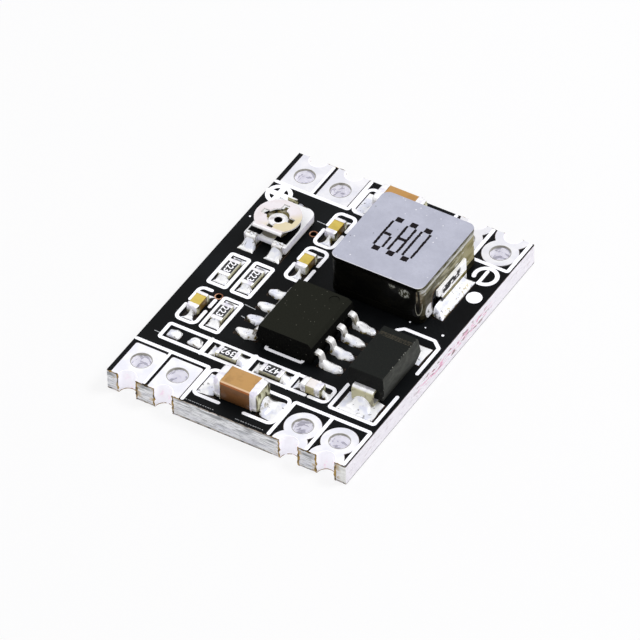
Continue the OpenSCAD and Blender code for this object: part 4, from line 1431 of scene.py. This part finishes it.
def makeCoilSolder(s):
    bm = bmesh.new()
    y = middleOf("inductor_clip_right").y - s["forward"] * mm
    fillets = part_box("inductor_solder")
    right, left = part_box("inductor_clip_right")[1].x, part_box("inductor_clip_left")[0].x
    for face, toe, heading in ((right, fillets[1].x, 0), (left, fillets[0].x, 180)):
        back = s["start"] * mm * math.copysign(1, toe - face)
        run = abs(toe - face + back) / mm
        shape = {**s, "run": run, "climb": min(s["climb"], run + 0.05)}
        solderRun(bm, Vector((face - back, y, padTop)), heading, shape, 91 + heading)
    keepPiece(bm, "inductorFillets", "solder", replaced=["inductor_solder"])


trimmerFeet = {
    "cells": (26, 24), "near": 0.86, "far": 1.08, "flare": 1.4, "toe": 0.06, "climb": 0.58,
    "run": 0.62, "ragged": 0.04, "crinkle": 0.03, "hollow": 1.5, "arch": 0.3,
}
trimmerCurl = {
    "long": 0.26, "wide": 0.20, "high": 0.10, "ragged": 0.3,
    "places": ((-0.24, 0.30), (0.02, 0.22), (0.25, 0.30)),  # from the foot's middle and its front
}
trimmerTap = {**trimmerFeet, "near": 0.62, "far": 0.8, "run": 0.42, "side": 0.9}


def makeTrimmerSolder():
    bm = bmesh.new()
    for name in ("left", "right"):
        low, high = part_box("trimmer_terminal_" + name)
        x = (low.x + high.x) / 2
        solderRun(bm, Vector((x, low.y, padTop)), -90, trimmerFeet, len(name))
        for index, (side, back) in enumerate(trimmerCurl["places"]):
            place = Vector((x + side * mm, low.y + back * mm, high.z))
            solderBlob(bm, place, trimmerCurl, 31 + index + len(name) * 5, 20 - index * 30)
    low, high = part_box("trimmer_rivet")
    solderRun(bm, Vector((low.x + trimmerTap["side"] * mm, high.y, padTop)), 90, trimmerTap, 9)
    keepPiece(bm, "trimmerFillets", "solder", replaced=["trimmer_solder"])


bareSolder = {"long": 0.92, "wide": 0.9, "high": 0.24, "ragged": 0.22, "flat": 0.62, "inset": 0.44}


def makeBareSolder(s):
    bm = bmesh.new()
    low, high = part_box("bare_pad_solder")
    inset = s["inset"] * mm
    for index, x in enumerate((low.x + inset, high.x - inset)):
        solderBlob(bm, Vector((x, (low.y + high.y) / 2, padTop)), s, 70 + index)
    keepPiece(bm, "bareMounds", "solder", replaced=["bare_pad_solder"])


makeChipSolder()
makeRegulatorSolder(regulatorSolder)
makeDiodeSolder(diodeSolder, diodeMound)
makeCoilSolder(coilSolder)
makeTrimmerSolder()
makeBareSolder(bareSolder)
print("solder laid")

# Burrs where the cutter met the half holes

burrs = {
    "wide": 0.12,
    "thick": 0.02,
    "ragged": 0.09,
    "stretch": 1.1,  # longest flake along the upper edge
    "out": 0.02,  # how far off the half hole a flake stands
    "sunk": 0.004,
}


def burrStrip(bm, start, along, across, length, wide, b):
    # a ragged flake that lies on the cut
    grid, faces = flatGrid(bm, 24, 2)
    drift = randomDrift()
    for vert in grid:
        step, side = vert.co.x + 0.5, vert.co.y * 2
        wander = noise.noise(Vector((step * length * 5, side, 0)) + drift) * b["ragged"]
        taper = math.sin(math.pi * min(max(step, 0.02), 0.98)) ** 0.3
        vert.co = start + (along * step * length + across * (side * wide / 2 * taper + wander)) * mm
    thicken(bm, faces, b["thick"] * mm, along.cross(across))


def makeBurrs(b):
    # one flake down each side of a half hole and one along the board's upper edge beside it
    bm = bmesh.new()
    random.seed(12)
    tall = (boardHigh.z + boardLow.z) / mm
    for side in (-1, 1):
        edgeY = side * (boardHigh.y - b["sunk"] * mm)
        for column in (value * sign for value in columns for sign in (-1, 1)):
            for edge in (-1, 1):
                x = (column + edge * (halfHole + b["out"])) * mm
                foot = Vector((x, edgeY, 0))
                burrStrip(bm, foot, Vector((0, 0, 1)), Vector((side, 0, 0)), tall, b["wide"], b)
                run = b["stretch"] * random.uniform(0.5, 1.0)
                run = min(run, (boardHigh.x - edge * x) / mm)
                start = Vector((x, edgeY, boardHigh.z - b["out"] * mm))
                away = Vector((edge, 0, 0))
                burrStrip(bm, start, away, Vector((0, 0, edge * -side)), run, b["wide"] * 0.6, b)
    keepPiece(bm, "edgeBurrs", "burr")


makeBurrs(burrs)
print("burrs left on the cuts")
